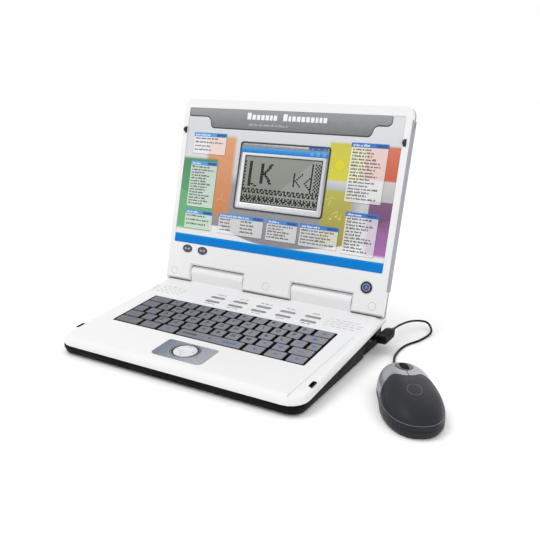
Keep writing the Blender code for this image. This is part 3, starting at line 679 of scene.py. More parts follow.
DISC = [                      # radius and height
    (13.3, -3.0), (13.3, -0.1), (13.1, 0.3), (12.6, 0.5), (11.8, 0.58), (8.5, 0.5), (6.4, 0.46), (5.6, 0.3),
    (4.2, 0.1), (2.2, -0.06), (0.4, -0.1),
]


def touchpad():
    # the plate darker on the left and lighter towards the right
    graded = print_and_shade_ramp("touchpad_graded", BASE, "727C8B", "B9BBC6", -30.0, 24.0, 0.3, 0.45)
    repaint("touchpad_plate", graded, 0.4)
    seam = Shape().ring(touch_outline(0.32), touch_outline(0.02), -0.8, 0.06, 0.05)
    seam.piece("touchpad_seam", BASE, "base", "touchpad", GREY_LINE)
    middle = (0.0, NAV_S)
    hoop = Shape().ring(*circles(16.9, 15.3, middle, 96), -2.8, 0.55, 0.25)
    silver = plastic("ring_silver", "9B9EA6", 0.25, 0.04, metal=0.6)
    hoop.piece("nav_ring_rim", BASE, "base", "nav_ring", silver, smooth=50, replaces=("nav_ring",))
    dark = Shape().ring(*circles(15.2, 13.7, middle, 96), -2.8, 0.2, 0.2)
    for start in (180, 0):
        for k in range(-3, 4):
            a = math.radians(k * 11 + start)
            corners = ((15.9, -0.03), (17.3, -0.03), (17.3, 0.03), (15.9, 0.03))
            dark.slab([(r * math.cos(a + da), NAV_S + r * math.sin(a + da)) for r, da in corners], 0.1, 0.62)
    dark.piece("nav_ring_groove", BASE, "base", "nav_ring", BLACK, smooth=50)
    disc, marks = Shape(), Shape()
    disc.loft([at(ellipse(r, y=NAV_S, n=72), z) for r, z in DISC])
    pearl = plastic("pearl_white", "E9EAEE", 0.18, 0.02, coat=0.6)
    disc.piece("nav_disc_cap", BASE, "nav_disc", "nav_disc", pearl, smooth=60, replaces=("nav_disc",))
    for k in range(4):
        marks.slab(spun([(10.9, 0), (9.2, 1.0), (9.2, -1.0)], 90 * k, *middle), 0.3, 0.6)
    marks.piece("nav_disc_marks", BASE, "nav_disc", "nav_disc", MARK_GREY)


# ---- card ---------------------------------------------------------------------------
FIELDS = [
    # left, bottom, right, top, softness, colour at the foot, colour at the top, share
    (-150, 40, -84, 220, 14.0, "E9EAED", "DDDEE2", 0.8),
    (-110, 40, 102, 128, 16.0, "8E8E92", "A3A3A7", 0.95),
    (-110.5, 78, -69.5, 181, 5.0, "D98E5C", "E3A477", 0.95),
    (60.3, 138, 108, 182.5, 2.2, "DDD63C", "D3CB48", 0.95),
    (60.3, 60, 98, 126.5, 3.2, "A79F45", "C2BD55", 0.92),
    (107.0, 142, 150, 181.5, 2.6, "D4603F", "DE7A5A", 0.95),
    (98.0, 119, 150, 141, 4.0, "BEBEBC", "CFCFCF", 0.8),
    (119.3, 84, 150, 118.6, 1.6, "6B4470", "85587F", 0.95),
]
UPPER_FIELDS = [
    (-150, 57, -93.5, 151, 3.5, "59B56A", "4F9468", 0.95),
    (121.5, 56, 150, 90, 3.5, "B36DB8", "96609C", 0.95),
]
BOXES = [
    # left, bottom, right, top, lines, columns
    (-135.0, 157.0, -85.0, 184.5, 4, 1),
    (-135.0, 87.0, -94.0, 147.0, 14, 1),
    (-135.0, 58.0, -92.0, 82.5, 3, 1),
    (-81.5, 57.0, -15.6, 83.0, 4, 2),
    (-10.3, 57.0, 32.3, 83.0, 5, 1),
    (36.2, 56.0, 86.3, 83.0, 5, 1),
    (87.7, 115.0, 132.6, 184.0, 16, 1),
    (92.9, 54.0, 133.1, 103.5, 11, 1),
]
HEADER = [
    (-146.4, 216.0), (-146.4, 205.3), (-117.0, 205.3), (-113.0, 202.0), (-110.8, 193.0), (-107.5, 191.0),
    (106.5, 191.0), (109.5, 193.5), (112.0, 202.0), (116.0, 204.0), (129.0, 204.0), (132.4, 207.5),
    (132.4, 216.0),
]
SKETCHES = [                  # place and turn of the faint strokes
    (-82, 148, 25), (-78, 146, -30), (-86, 128, 10), (-80, 127, 60), (-82, 104, 90), (-86, 100, 30),
    (-77, 99, -20),
]
PRINT_Z = -0.4                # the card's face, below the bezel's
TITLE_Y = 204.3


def lay_fields(g, colour, fields):
    for x0, y0, x1, y1, soft, first, second, share in fields:
        paint = g.mix(g.spread(g.y, 0.0, 1.0, y0, y1), rgb(first), rgb(second))
        colour = g.mix(g.times(g.box(x0, y0, x1, y1, soft), share), colour, paint)
    return colour


def card_print(g):
    """Colour of the printed card: soft blocks of colour on grey, a white sweep and a blue band."""
    colour = g.mix(g.spread(g.y, 0.0, 1.0, 90.0, 205.0), rgb("C9CACE"), rgb("E6E7EA"))
    colour = lay_fields(g, colour, FIELDS)
    # the white sweep under the screen, then the fields that lie over it
    from_middle = g.math("SUBTRACT", g.x, 4.0)
    bend = g.math("SUBTRACT", 0.0021, g.times(g.x, 0.0000045))
    arc = g.times(g.times(from_middle, from_middle), bend)
    arc = g.math("MINIMUM", g.math("ADD", arc, 49.5), 66.0)
    sweep = g.times(g.math("SUBTRACT", arc, g.y), 0.8, clamp=True)
    colour = g.mix(sweep, colour, rgb("F4F5F7"))
    colour = lay_fields(g, colour, UPPER_FIELDS)
    for slope, start, x0, x1, code in (
        (0.43, 36.5, 118.0, 150.0, "A27AA6"), (-0.35, 58.0, -150.0, -93.0, "8CCB95")
    ):
        line = g.math("ADD", g.times(g.x, slope), start)
        below = g.times(g.math("SUBTRACT", line, g.y), 1.5, clamp=True)
        where = g.times(below, g.box(x0, 58, x1, 116, 2.0))
        colour = g.mix(g.times(where, 0.35), colour, rgb(code))
    band = g.mix(g.spread(g.y, 0.0, 1.0, 46.5, 49.8), rgb("0084DC"), rgb("1C9CE4"))
    return g.mix(g.box(-160, 30, 160, 49.6, 0.3), colour, band)


def printed(name, veil=None, share=0.0):
    """The card's print, seen through a veil of one colour where one is given."""
    g = Graph(name, FACE)
    colour = card_print(g)
    if veil:
        colour = g.mix(share, colour, rgb(veil))
    g.set(colour=colour, coat=0.0, coat_rough=0.1, specular=0.1)
    g.set(rough=g.spread(g.noise(0.3, 4.0), 0.3, 0.42))
    g.bump(g.noise(1.2, 2.0), 0.15, 0.01 * MM)
    return g.material


def layer(shape, outline, step):
    """A printed layer: a very thin plate, step by step above the card."""
    shape.slab(outline, PRINT_Z - 0.05, PRINT_Z + 0.03 * step)


def card():
    repaint("activity_card", printed("card_print"))
    draw = random.Random(11)
    bodies, shadows, titles, ends, text, white, sun, notes, faint = (Shape() for _ in range(9))
    low, high = PRINT_Z, PRINT_Z + 0.17
    for x0, y0, x1, y1, lines, columns in BOXES:
        layer(shadows, rounded(x0 - 0.3, y0 - 0.7, x1 + 0.7, y1 - 1.0, 0.8, 2), 1)
        layer(bodies, rounded(x0, y0, x1, y1 - 1.0, 0.6, 2), 2)
        layer(titles, rounded(x0 - 0.5, y1 - 5.2, x1 + 0.5, y1, 0.6, 2), 4)
        layer(ends, rounded(x1 - 15.5, y1 - 4.4, x1 - 0.9, y1 - 0.8, 0.5, 2), 5)
        end = x0 + 2.0 + (x1 - x0 - 18) * draw.uniform(0.55, 0.9)
        writing(white, x0 + 2.0, y1 - 3.9, end, 2.4, draw, low, high)
        writing(text, x1 - 13.4, y1 - 3.6, x1 - 2.2, 1.9, draw, low, high)
        step = (y1 - 8.2 - y0) / lines
        wide = (x1 - x0 - 4) / columns
        for k in range(columns * lines):
            column, i = divmod(k, lines)
            left = x0 + 2.2 + column * wide
            end = left + wide * draw.uniform(0.5, 0.97)
            writing(text, left, y1 - 8.6 - i * step, end, min(2.3, step * 0.62), draw, low, PRINT_Z + 0.12)
    header(draw)
    layer(sun, ellipse(5.2, x=76, y=157, n=40), 1)
    for x, y in ((73.5, 92.5), (80.5, 96.0), (85.2, 94.0)):
        layer(notes, ellipse(1.7, 1.3, x, y, 14), 2)
        layer(notes, [(x + 1.0, y), (x + 1.6, y), (x + 1.6, y + 6), (x + 1.0, y + 6)], 3)
    layer(notes, [(74.5, 97.4), (82.1, 101.4), (82.1, 102.6), (74.5, 98.6)], 4)
    for x, y, a in ((68, 116, 20), (74, 118, -25), (70, 112, 70)):
        layer(notes, spun(stroke(4, 0.4), a, x, y), 2)
    for x, y, a in SKETCHES:
        layer(faint, spun(stroke(4, 0.5), a, x, y), 2)
    for shape, name, material in (
        (shadows, "box_shadows", printed("card_shade", "3A3B40", 0.5)),
        (bodies, "box_bodies", printed("card_veil", "FFFFFF", 0.58)),
        (titles, "box_titles", print_and_shade_ramp("title_blue", FACE, "5AA2E4", "2C74C4", -150.0, 150.0, 0.3, 0.0)),
        (ends, "box_ends", plastic("title_end", "2B67B5", 0.35)),
        (text, "card_text", plastic("text_ink", "2C2D33", 0.5)),
        (white, "card_titles", plastic("text_white", "F7F8FA", 0.5)),
        (sun, "card_sun", plastic("sun_yellow", "E4DD1F", 0.4)),
        (notes, "card_notes", plastic("note_yellow", "DCD56A", 0.4)),
        (faint, "card_sketches", plastic("faint_orange", "E0A27B", 0.4)),
    ):
        shape.piece(name, FACE, "lid", "card", material)


def header(draw):
    outline = softened(HEADER, 2.2)
    rim, edge, strip, marks, thin = (Shape() for _ in range(5))
    layer(rim, grown(outline, 0.9), 2)
    layer(edge, grown(outline, 0.35), 3)
    layer(strip, [(x, y + 0.7) for x, y in grown(outline, -0.5)], 4)
    high = PRINT_Z + 0.2
    for start, blocks in ((-58.0, 7), (-7.0, 10)):
        x = start
        for i in range(blocks):
            wide, tall = (5.8, 8.4) if i == 0 else (draw.choice((3.6, 4.8, 4.8)), 6.2)
            marks.slab(rounded(x, TITLE_Y, x + wide, TITLE_Y + tall, 0.7, 3), PRINT_Z, high)
            x += wide + 1.5
    writing(thin, -55.0, 196.6, 2.0, 3.0, draw, PRINT_Z, high)
    grey = print_and_shade_ramp("header_grey", FACE, "77797C", "9DA0A3", 192.0, 214.0, 0.35, 0.1, up=True)
    for shape, name, material in (
        (rim, "header_halo", plastic("halo_white", "EDEEF0", 0.4)),
        (edge, "header_edge", plastic("header_edge", "2F3033", 0.4)),
        (strip, "header_strip", grey),
        (marks, "header_marks", plastic("mark_white", "FBFBFC", 0.35)),
        (thin, "header_small_marks", plastic("mark_grey", "B8BABD", 0.4)),
    ):
        shape.piece(name, FACE, "lid", "card", material)


# ---- screen -------------------------------------------------------------------------
DOT = 2.12                    # pitch of the screen's dots
BEVEL = [                     # the moulding's steps out from the window: side, foot, top; height
    (5.1, 6.9, 4.0, -0.1), (4.6, 6.2, 3.6, 0.15), (2.6, 3.6, 2.0, 0.05), (1.3, 1.6, 1.1, -0.45),
    (0.9, 1.0, 0.8, -1.05), (0.9, 1.0, 0.8, -1.15), (5.1, 6.9, 4.0, -1.15),
]


def inside_frame(d, radius):
    """The screen frame's outline, moved inwards."""
    half, low, high = SCREEN
    return rounded(-half + d, low + d, half - d, high - d, radius)


def window(side, foot, top, radius, steps):
    """The window's outline, moved outwards at its sides, its foot and its top."""
    half, low, high = WINDOW
    return rounded(-half - side, low - foot, half + side, high + top, radius, steps)


def screen():
    rim = Shape().ring(inside_frame(0, 4.0), inside_frame(1.7, 2.6), -1.1, 0.3, 0.35)
    black = plastic("rim_black", "1B1B1E", 0.25, 0.06, coat=0.4)
    rim.piece("screen_rim", FACE, "lid", "screen_frame", black, smooth=50, replaces=("lcd_frame",))
    face = Shape().ring(inside_frame(1.8, 2.5), window(5.2, 7.0, 4.0, 0.8, 6), -1.1, -0.05, 0.15)
    silver = print_and_shade_ramp("surround_silver", FACE, "D5D6DA", "8F9196", 95.0, 175.0, 0.25, 0.5, up=True)
    bevel = Shape().loft([at(window(*steps, 0.8, 5), z) for *steps, z in BEVEL], close=True)
    # the bevel lighter on the left and darker on the right: painted highlight and shade
    pale = print_and_shade_ramp("bevel_painted_highlight", FACE, "F4F5F7", "D9DADD", -60.0, 60.0, 0.2, 0.15)
    inner = window(-0.1, -0.1, -0.1, 0.4, 4)
    gasket = Shape().ring(window(0.85, 0.95, 0.75, 0.6, 4), inner, -1.3, -0.75, 0.1)
    title = Shape().slab(rounded(-60.2, 163.2, 60.2, 169.6, 0.5, 3), -0.3, 0.22, 0.15)
    blue = print_and_shade_ramp("title_bar", FACE, "0078CC", "35A4EC", 163.5, 169.5, 0.25, 0.0, up=True)
    small = Shape().slab(rounded(33.5, 171.4, 58.2, 174.9, 0.5, 3), -0.3, 0.12, 0.1)
    icons = Shape()
    for i in range(3):
        x = 37.4 + i * 8.0
        icons.bar(x, 172.4, x + 2.6, 173.0, 0.0, 0.16)
        outer = rounded(x - 0.4, 164.9, x + 3.0, 168.2, 0.3, 2)
        icons.ring(outer, rounded(x + 0.1, 165.4, x + 2.5, 167.7, 0.2, 2), 0.0, 0.26, 0.05)
    for shape, name, smooth, material in (
        (face, "screen_surround", 50, silver),
        (bevel, "screen_bevel", 40, pale),
        (gasket, "screen_gasket", 35, BLACK),
        (title, "screen_title", 50, blue),
        (small, "screen_small_box", 35, plastic("small_box", "2360B2", 0.3)),
        (icons, "screen_icons", 35, plastic("icon_blue", "A9D3F5", 0.4)),
    ):
        shape.piece(name, FACE, "lid", "screen_frame", material, smooth=smooth)
    g = Graph("liquid_crystal", FACE)
    across = g.times(g.math("SUBTRACT", g.x, 0.5), 0.95)
    glare = g.times(g.math("SUBTRACT", across, g.math("SUBTRACT", g.y, 119.0)), 0.8, clamp=True)
    tone = g.mix(g.spread(g.y, 0.0, 1.0, 100.0, 160.0), rgb("7F857B"), rgb("8C9286"))
    tone = g.mix(g.times(glare, 0.4), tone, rgb("A9ACA6"))
    g.set(colour=tone, coat=0.8, coat_rough=0.04)
    g.set(rough=g.spread(g.noise(0.8, 3.0), 0.16, 0.24))
    g.bump(g.noise(3.0, 2.0), 0.05, 0.005 * MM)
    repaint("lcd_panel", g.material)
    dots = Shape()
    for row, marks in enumerate(picture()):
        for column, mark in enumerate(marks):
            if mark == "#":
                x, y = -52.6 + column * DOT, 157.3 - row * DOT
                dots.bar(x, y - DOT * 0.94, x + DOT * 0.94, y, -1.42, -1.36)
    ink = plastic("dot_black", "0A0B0C", 0.3, 0.1, specular=0.2)
    dots.piece("screen_dots", FACE, "lid", "screen", ink)


def picture():
    """The dots that are on: a large and a small letter in a checked border."""
    wide, high = 50, 27
    grid = [[" "] * wide for _ in range(high)]
    for r in range(2, 17):
        if r % 2 == 0:
            grid[r][0] = "#"
        grid[r][3] = grid[r][4] = "#"
    for i in range(4):
        grid[15 + i // 2][5 + i] = "#"
    upper = ["##    ##", "##   ## ", "##   ## ", "##  ##  ", "## ##   ", "####    "]
    large = upper + upper[::-1]
    small = ["#    #", "#   # ", "#  #  ", "# #   ", "##    ", "# #   ", "#  #  ", "#   # "]
    for start, left, letter in ((3, 11, large), (7, 33, small)):
        for r, text in enumerate(letter):
            for c, mark in enumerate(text):
                if mark == "#":
                    grid[start + r][left + c] = "#"
    for r in range(1, 21):
        grid[r][44] = "#"
        if r % 2:
            grid[r][46] = grid[r][48] = "#"
        else:
            grid[r][47] = grid[r][49] = "#"
    for i in range(4):
        grid[9 + i][43 - i] = grid[15 - i][43 - i] = "#"
    for c in range(wide):
        for r, every, skip in (
            (18, 3, 2), (19, 2, 1), (20, 3, 0), (22, 2, 0), (23, 3, 1), (24, 4, 2), (25, 2, 1)
        ):
            grid[r][c] = " " if c % every == skip else "#"
    return ["".join(line) for line in grid]


# ---- lid ----------------------------------------------------------------------------
def lid():
    repaint("lid_bezel", WHITE, 0.3, 40)
    silver = plastic("lid_silver", "A5A8B0", 0.36, 0.015, 900.0, 0.000006, metal=0.3, coat=0.1)
    repaint("lid_back_cover", silver, 0.3, 40)
    card()
    screen()
    x, y = POWER
    glow = Shape()
    ring = Shape().ring(*circles(5.9, 3.0, POWER, 60), -4.4, 0.6, 0.5)
    black = plastic("power_black", "1D1E24", 0.3, 0.06, coat=0.4)
    button = FACE, "power_button", "power_button"
    ring.piece("power_ring", *button, black, smooth=50, replaces=("power_button",))
    core = Shape().slab(ellipse(2.9, x=x, y=y, n=48), -4.0, 0.5, 0.6, dish=0.25)
    core.piece("power_core", *button, plastic("power_blue", "2F5FC0", 0.2, 0.08, coat=0.6), smooth=60)
    for k in range(12):
        a = math.radians(30 * k + 5)
        b = a + math.radians(20)
        arc = ((3.7, a), (4.7, a), (4.7, b), (3.7, b))
        glow.slab([(x + r * math.cos(t), y + r * math.sin(t)) for r, t in arc], 0.3, 0.64)
    glow.bar(x - 0.3, y - 1.6, x + 0.3, y + 1.8, 0.0, 0.56)
    glow.piece("power_marks", *button, plastic("power_light", "B9C2D8", 0.3))
    collar = Shape().ring(*circles(7.1, 6.2, POWER, 60), -0.5, 0.3, 0.2)
    dark = plastic("collar_black", "22242C", 0.3, specular=0.3)
    collar.piece("power_collar", FACE, "lid", "power_button", dark, smooth=50)
    outline = Shape().ring(*circles(8.1, 7.8, POWER, 60), -0.2, 0.04, 0.05)
    outline.piece("power_outline", FACE, "lid", "white_shell", GREY_LINE)
    for name, (x, y) in zip(("volume_down_button", "volume_up_button"), VOLUME):
        mark = Shape()
        cap = Shape().slab(ellipse(7.4, 5.0, x, y, 48), -4.4, 0.55, 0.7, steps=5, dish=0.2)
        grey = plastic(name + "_grey", "3D4152", 0.25, 0.08, coat=0.5)
        cap.piece(name + "_cap", FACE, name, "volume_button", grey, smooth=60, replaces=(name,))
        for side in (-1, 1):
            wedge = [(x + side * u, y + v) for u, v in ((1.6, 1.3), (4.2, 1.6), (3.4, -1.6), (1.2, -1.0))]
            mark.slab(wedge[::side], 0.2, 0.6)
        mark.bar(x - 0.8, y - 0.4, x + 0.8, y + 0.4, 0.2, 0.58)
        if name == "volume_up_button":
            mark.bar(x - 0.35, y - 1.1, x + 0.35, y + 1.1, 0.2, 0.58)
        silver = plastic(name + "_silver", "B4B8C6", 0.3, metal=0.3)
        mark.piece(name + "_mark", FACE, name, "volume_button", silver)
        rim = Shape().ring(ellipse(8.5, 6.0, x, y, 48), ellipse(7.75, 5.35, x, y, 48), -0.3, 0.15, 0.12)
        rim.piece(name + "_rim", FACE, "lid", "white_shell", WHITE, smooth=50)
    for place, x in zip(("left", "middle", "right"), PLUGS):
        groove = Shape().ring(*circles(4.95, 4.55, (x, -1.5), 40), -0.6, 0.02, 0.05)
        groove.piece(f"screw_plug_{place}_groove", FACE, "lid", "plug_cap", GREY_LINE)


# ---- gaps, sides, back and underside ------------------------------------------------
def gap_lines():
    """Black strips of painted shade in the running gaps between lid, housings and deck."""
    shade_strips = Shape()
    for side in (-1, 1):
        inner, outer = HOUSING[0] - 0.7, HOUSING[1] + 0.7
        path = [(inner, -9.0), (inner, NOTCH), (outer, NOTCH), (outer, -9.0)]
        low, high = inner - 1.7, outer + 1.7
        wide = [(low, -9.0), (low, NOTCH + 1.7), (high, NOTCH + 1.7), (high, -9.0)]
        for (a, b), (c, d) in zip(zip(path, path[1:]), zip(wide, wide[1:])):
            deep, near = [(side * p[0], p[1]) for p in (a, b)], [(side * p[0], p[1]) for p in (c, d)]
            shade_strips.loft(
                [
                    [(*deep[0], -1.9), (*deep[1], -1.9), (*near[1], 0.0), (*near[0], 0.0)],
                    [(*deep[0], -1.75), (*deep[1], -1.75), (*near[1], 0.12), (*near[0], 0.12)],
                ]
            )
    shade_strips.piece("housing_gap_painted_shade", FACE, "lid", "latch", BLACK)
    # a black strip of painted shade on the deck under the lid's tabs
    edge = Shape()
    for x0, x1 in ((-154.0, -HOUSING[1] - 1), (-HOUSING[0] + 1, HOUSING[0] - 1), (HOUSING[1] + 1, 154.0)):
        edge.bar(x0, 211.9, x1, 213.5, -0.3, 0.04)
    edge.piece("deck_gap_painted_shade", BASE, "base", "latch", BLACK)
    slots = Shape()
    for side in (-1, 1):
        x = side * LATCH
        inner = rounded(x - 1.8, 30.7, x + 1.8, 41.3, 0.3, 3)
        slots.ring(rounded(x - 2.3, 30.2, x + 2.3, 41.8, 0.5, 3), inner, -3.0, -0.35, 0.05)
    slots.piece("latch_slot_liners", BASE, "base", "latch", BLACK)
    grille = Shape()
    for x0 in (-147.0, 97.0):
        grille.bar(x0, 163.5, x0 + 50.0, 187.0, -3.0, -2.5)
    grille.piece("speaker_cloth", BASE, "base", "speaker", MARK_GREY)


def sides():
    ridges, slit, strips = Shape(), Shape(), Shape()
    for side in (-1, 1):
        x = side * 155.4
        near, far = sorted((side * 154.6, x))
        for low, high in ((-15.0, -12.9), (-12.5, -8.1), (-7.7, -4.9), (-4.5, -1.6)):
            strips.slab(rounded(near, 17.0, far, 213.0, 0.25, 3), low, high, 0.2)
        for i in range(26):
            v = 112.0 + i * 3.0
            first, last = (v, v + 1.3)[::side]
            corners = [(first, -12.3), (first, -8.4), (last, -8.4), (last, -12.3)]
            ridges.loft([[(x + side * 0.28 * k, y, z) for y, z in corners] for k in (-0.5, 1)])
        corners = [(205, -11.4), (211, -11.4), (211, -9.6), (205, -9.6)]
        slit.loft([[(x + dx, y, z) for y, z in corners] for dx in (-0.3, 0.06)])
    silver = plastic("side_silver", "A2A4AB", 0.32, 0.05, metal=0.15)
    strips.piece("lid_side_strips", FACE, "lid", "white_shell", silver)
    silver = plastic("ridge_silver", "A9ADB5", 0.3, metal=0.4)
    ridges.piece("lid_side_ridges", FACE, "lid", "white_shell", silver)
    slit.piece("lid_side_slits", FACE, "lid", "latch", BLACK)


def back():
    """The lid's outside: a raised panel with a groove round it and a field of ribs."""
    outline = rounded(-128, 34, 128, 206, 22, 10)
    panel = Shape().slab(outline, -0.2, 0.9, 0.8)
    pale = plastic("panel_silver", "C6C9D0", 0.34, 0.02, 900.0, 0.000006, metal=0.2)
    panel.piece("lid_back_panel", BACK, "lid", "white_shell", pale, smooth=50)
    groove = Shape().ring(grown(outline, 1.6), grown(outline, 0.2), -0.3, 0.06, 0.05)
    groove.piece("lid_back_groove", BACK, "lid", "white_shell", plastic("groove_grey", "6C6E75", 0.5))
    ribs = Shape()
    for i in range(9):
        y = 52 + i * 4.6
        ribs.slab(rounded(-58 + i * 2, y, 58 - i * 2, y + 1.6, 0.8, 4), 0.6, 1.4, 0.5)
    silver = plastic("rib_silver", "9A9DA5", 0.35, 0.03)
    ribs.piece("lid_back_ribs", BACK, "lid", "white_shell", silver, smooth=50)


SCREWS = [(side * x, y) for x, y in ((134, -42), (134, -120), (60, -28), (134, -186)) for side in (-1, 1)]
FEET = [(side * 128, y) for y in (-24, -206) for side in (-1, 1)]


def underside():
    ribs, screws, marks, treads = (Shape() for _ in range(4))
    for bounds in (
        (-118, -150, 118, -146), (-118, -48, 118, -44), (-118, -146, -114, -48), (114, -146, 118, -48)
    ):
        ribs.slab(rounded(*bounds, 1.2, 3), -0.3, 0.8, 0.5)
    for i in range(14):
        for x in (-78, 78):
            ribs.slab(rounded(x - 16, -62 - i * 5.4, x + 16, -59.6 - i * 5.4, 1.1, 4), -0.3, 0.7, 0.4)
    for x, y in SCREWS:
        screws.ring(*circles(5.0, 3.6, (x, y), 32), -0.3, 0.7, 0.3)
        screws.slab(ellipse(2.9, x=x, y=y, n=24), -0.3, 0.3, 0.25, paint=1)
        # the black cross on each steel head is painted shade of its recess
        for a in (0, 90):
            screws.slab(spun(stroke(1.9, 0.3), a, x, y), 0.1, 0.34, paint=2)
    for i in range(6):
        marks.slab(rounded(-14, -168 - i * 3.4, 14, -166.4 - i * 3.4, 0.8, 3), -0.2, 0.75, 0.4)
    marks.slab([(0, -201), (4, -196), (-4, -196)], -0.2, 0.6)
    for place in FEET:
        treads.ring(*circles(8.6, 7.3, place, 36), -0.3, 0.6, 0.25)
    for name, shape in (("tray_ribs", ribs), ("door_grip", marks), ("foot_rims", treads)):
        shape.piece(name, UNDER, "base", "black_tray", DARK, smooth=50)
    screws.piece("tray_screws", UNDER, "base", "black_tray", DARK, STEEL, BLACK, smooth=50)


def tray_band():
    """The tray's dark rim, which shows as a band below the white shell's front and sides."""
    route = [(-HALF, y, 180.0) for y in (165.0, 120.0, 80.0, 40.0)]
    route += [(None, -1, angle) for angle in range(180, 271, 9)]
    route += [(x, 0.0, 270.0) for x in range(-110, 111, 44)]
    route += [(None, 1, angle) for angle in range(270, 361, 9)]
    route += [(HALF, y, 360.0) for y in (40.0, 80.0, 120.0, 165.0)]
    profile = [(1.0, 0.0), (1.0, 0.5), (1.6, 0.56), (3.2, 1.0), (9.0, 1.0), (9.0, 0.0)]
    sections = []
    for x, y, angle in route:
        out = Vector((math.cos(math.radians(angle)), math.sin(math.radians(angle))))
        edge = Vector((x, y)) if x is not None else (
            Vector((y * (HALF - TRAY_CORNER), TRAY_CORNER)) + out * TRAY_CORNER
        )
        top = BAND_TOP + edge.y * math.tan(math.radians(SLOPE))
        sections.append([(*(edge - out * inset), top + (BAND_LOW - top) * share) for inset, share in profile])
    Shape().loft(sections).piece("tray_band", ROOT, "base", "black_tray", DARK, smooth=40)


def solids():
    """Finishes of the small CAD solids that stay as they are."""
    for node, name, code, rough, vary in (
        ("keypad_membrane", "membrane_dark", "17171A", 0.7, 0.06),
        ("main_board", "board_green", "1F5A33", 0.45, 0.15),
        ("mouse_board", "mouse_board_green", "1F5A33", 0.45, 0.15),
        ("speaker", "speaker_cone", "26221F", 0.8, 0.15),
        *((f"battery_{i}", f"battery_sleeve_{i}", "3E444D", 0.25, 0.05) for i in (1, 2, 3)),
    ):
        repaint(node, plastic(name, code, rough, vary))
    for node, material, edge in (
        ("screw_plug_left", WHITE, 0), ("screw_plug_middle", WHITE, 0), ("screw_plug_right", WHITE, 0),
        ("latch_hook_left", BLACK, 0.3), ("latch_hook_right", BLACK, 0.3), ("foot_front_left", FOOT, 0.5),
        ("foot_front_right", FOOT, 0.5), ("foot_back_left", FOOT, 0.5), ("foot_back_right", FOOT, 0.5),
        ("battery_door", DARK, 0.25), ("battery_door_screw", STEEL, 0.25), ("hinge_pin_left", STEEL, 0.25),
        ("hinge_pin_right", STEEL, 0.25), ("mouse_port", BLACK, 0.25), ("mouse_base", CHARCOAL, 0.25),
    ):
        repaint(node, material, edge)


# ---- mouse --------------------------------------------------------------------------
def palm(v):
    """Half the mouse's width at a share v of its half length."""
    waist = 0.07 * math.exp(-(((v - 0.12) / 0.3) ** 2))
    return MOUSE_SIZE[0] / 2 * (1 - 0.06 * v - waist)


def dome_ring(phi, n=96):
    """A ring of the mouse's dome, at an angle from its rim to its top."""
    scale = math.cos(math.radians(phi)) ** 0.62
    lift = math.sin(math.radians(phi))
    ring = []
    for i in range(n):
        a = 2 * math.pi * i / n
        u = math.copysign(abs(math.cos(a)) ** 0.87, math.cos(a))
        v = math.copysign(abs(math.sin(a)) ** 0.87, math.sin(a))
        x, y = u * palm(v) * scale, v * MOUSE_SIZE[1] / 2 * scale + LEAN * lift**2
        nose = max(y, 0.0) / (MOUSE_SIZE[1] / 2)
        z = RIM + (MOUSE_SIZE[2] - RIM) * lift * (1 - NOSE_DROP * nose**1.3)
        ring.append((x, y, z))
    return ring


def height(x, y):
    """Height of the dome over a point of the mouse's plan."""
    low, high = 0.0, 84.0
    for _ in range(24):
        phi = (low + high) / 2
        scale = math.cos(math.radians(phi)) ** 0.62
        v = (y - LEAN * math.sin(math.radians(phi)) ** 2) / scale / (MOUSE_SIZE[1] / 2)
        inside = (abs(x) / scale / palm(v)) ** 2.3 + abs(v) ** 2.3
        low, high = (phi, high) if inside < 1 else (low, phi)
    nose = max(y, 0.0) / (MOUSE_SIZE[1] / 2)
    return RIM + (MOUSE_SIZE[2] - RIM) * math.sin(math.radians(low)) * (1 - NOSE_DROP * nose**1.3)


def clipped(name, outline, body, material, replaces=(), hole=None, low=SEAM, bevel=0.35):
    """The part of the mouse's dome that stands over an outline, with rounded edges."""
    foot = at([p[:2] for p in dome_ring(0)], 6.0)
    dome = Shape().loft([foot, *[dome_ring(phi) for phi in range(0, 85, 6)]])
    walls = [at(outline, low), at(outline, 60)] + ([at(hole, 60), at(hole, low)] if hole else [])
    objects = []
    for shape in (dome, Shape().loft(walls, close=bool(hole))):
        data = bpy.data.meshes.new("cut")
        data.from_pydata([MOUSE @ (Vector(p) * MM) for p in shape.points], [], shape.faces)
        face_out(data)
        objects.append(linked("cut", data))
    cut = objects[0].modifiers.new("cut", "BOOLEAN")
    put(cut, operation="INTERSECT", object=objects[1], solver="EXACT")
    bpy.context.view_layer.update()
    graph = bpy.context.evaluated_depsgraph_get()
    mesh = bpy.data.meshes.new_from_object(objects[0].evaluated_get(graph))
    for obj in objects:
        old = obj.data
        bpy.data.objects.remove(obj)
        bpy.data.meshes.remove(old)
    mesh.name = name
    mesh.materials.clear()
    mesh.materials.append(material)
    piece = linked(name, mesh)
    edge = piece.modifiers.new("edge", "BEVEL")
    put(edge, width=bevel * MM, segments=2, limit_method="ANGLE", angle_limit=math.radians(40))
    edge.harden_normals = True
    return settle(piece, body, 38, replaces)


def front_edge(x):
    """Where the palm cover meets the buttons, along the mouse."""
    x = abs(x)
    return 7.0 + 6.0 * math.exp(-(((x - 14.0) / 6.0) ** 2)) - 8.0 * max(0.0, (x - 17.0) / 13.0) ** 1.5


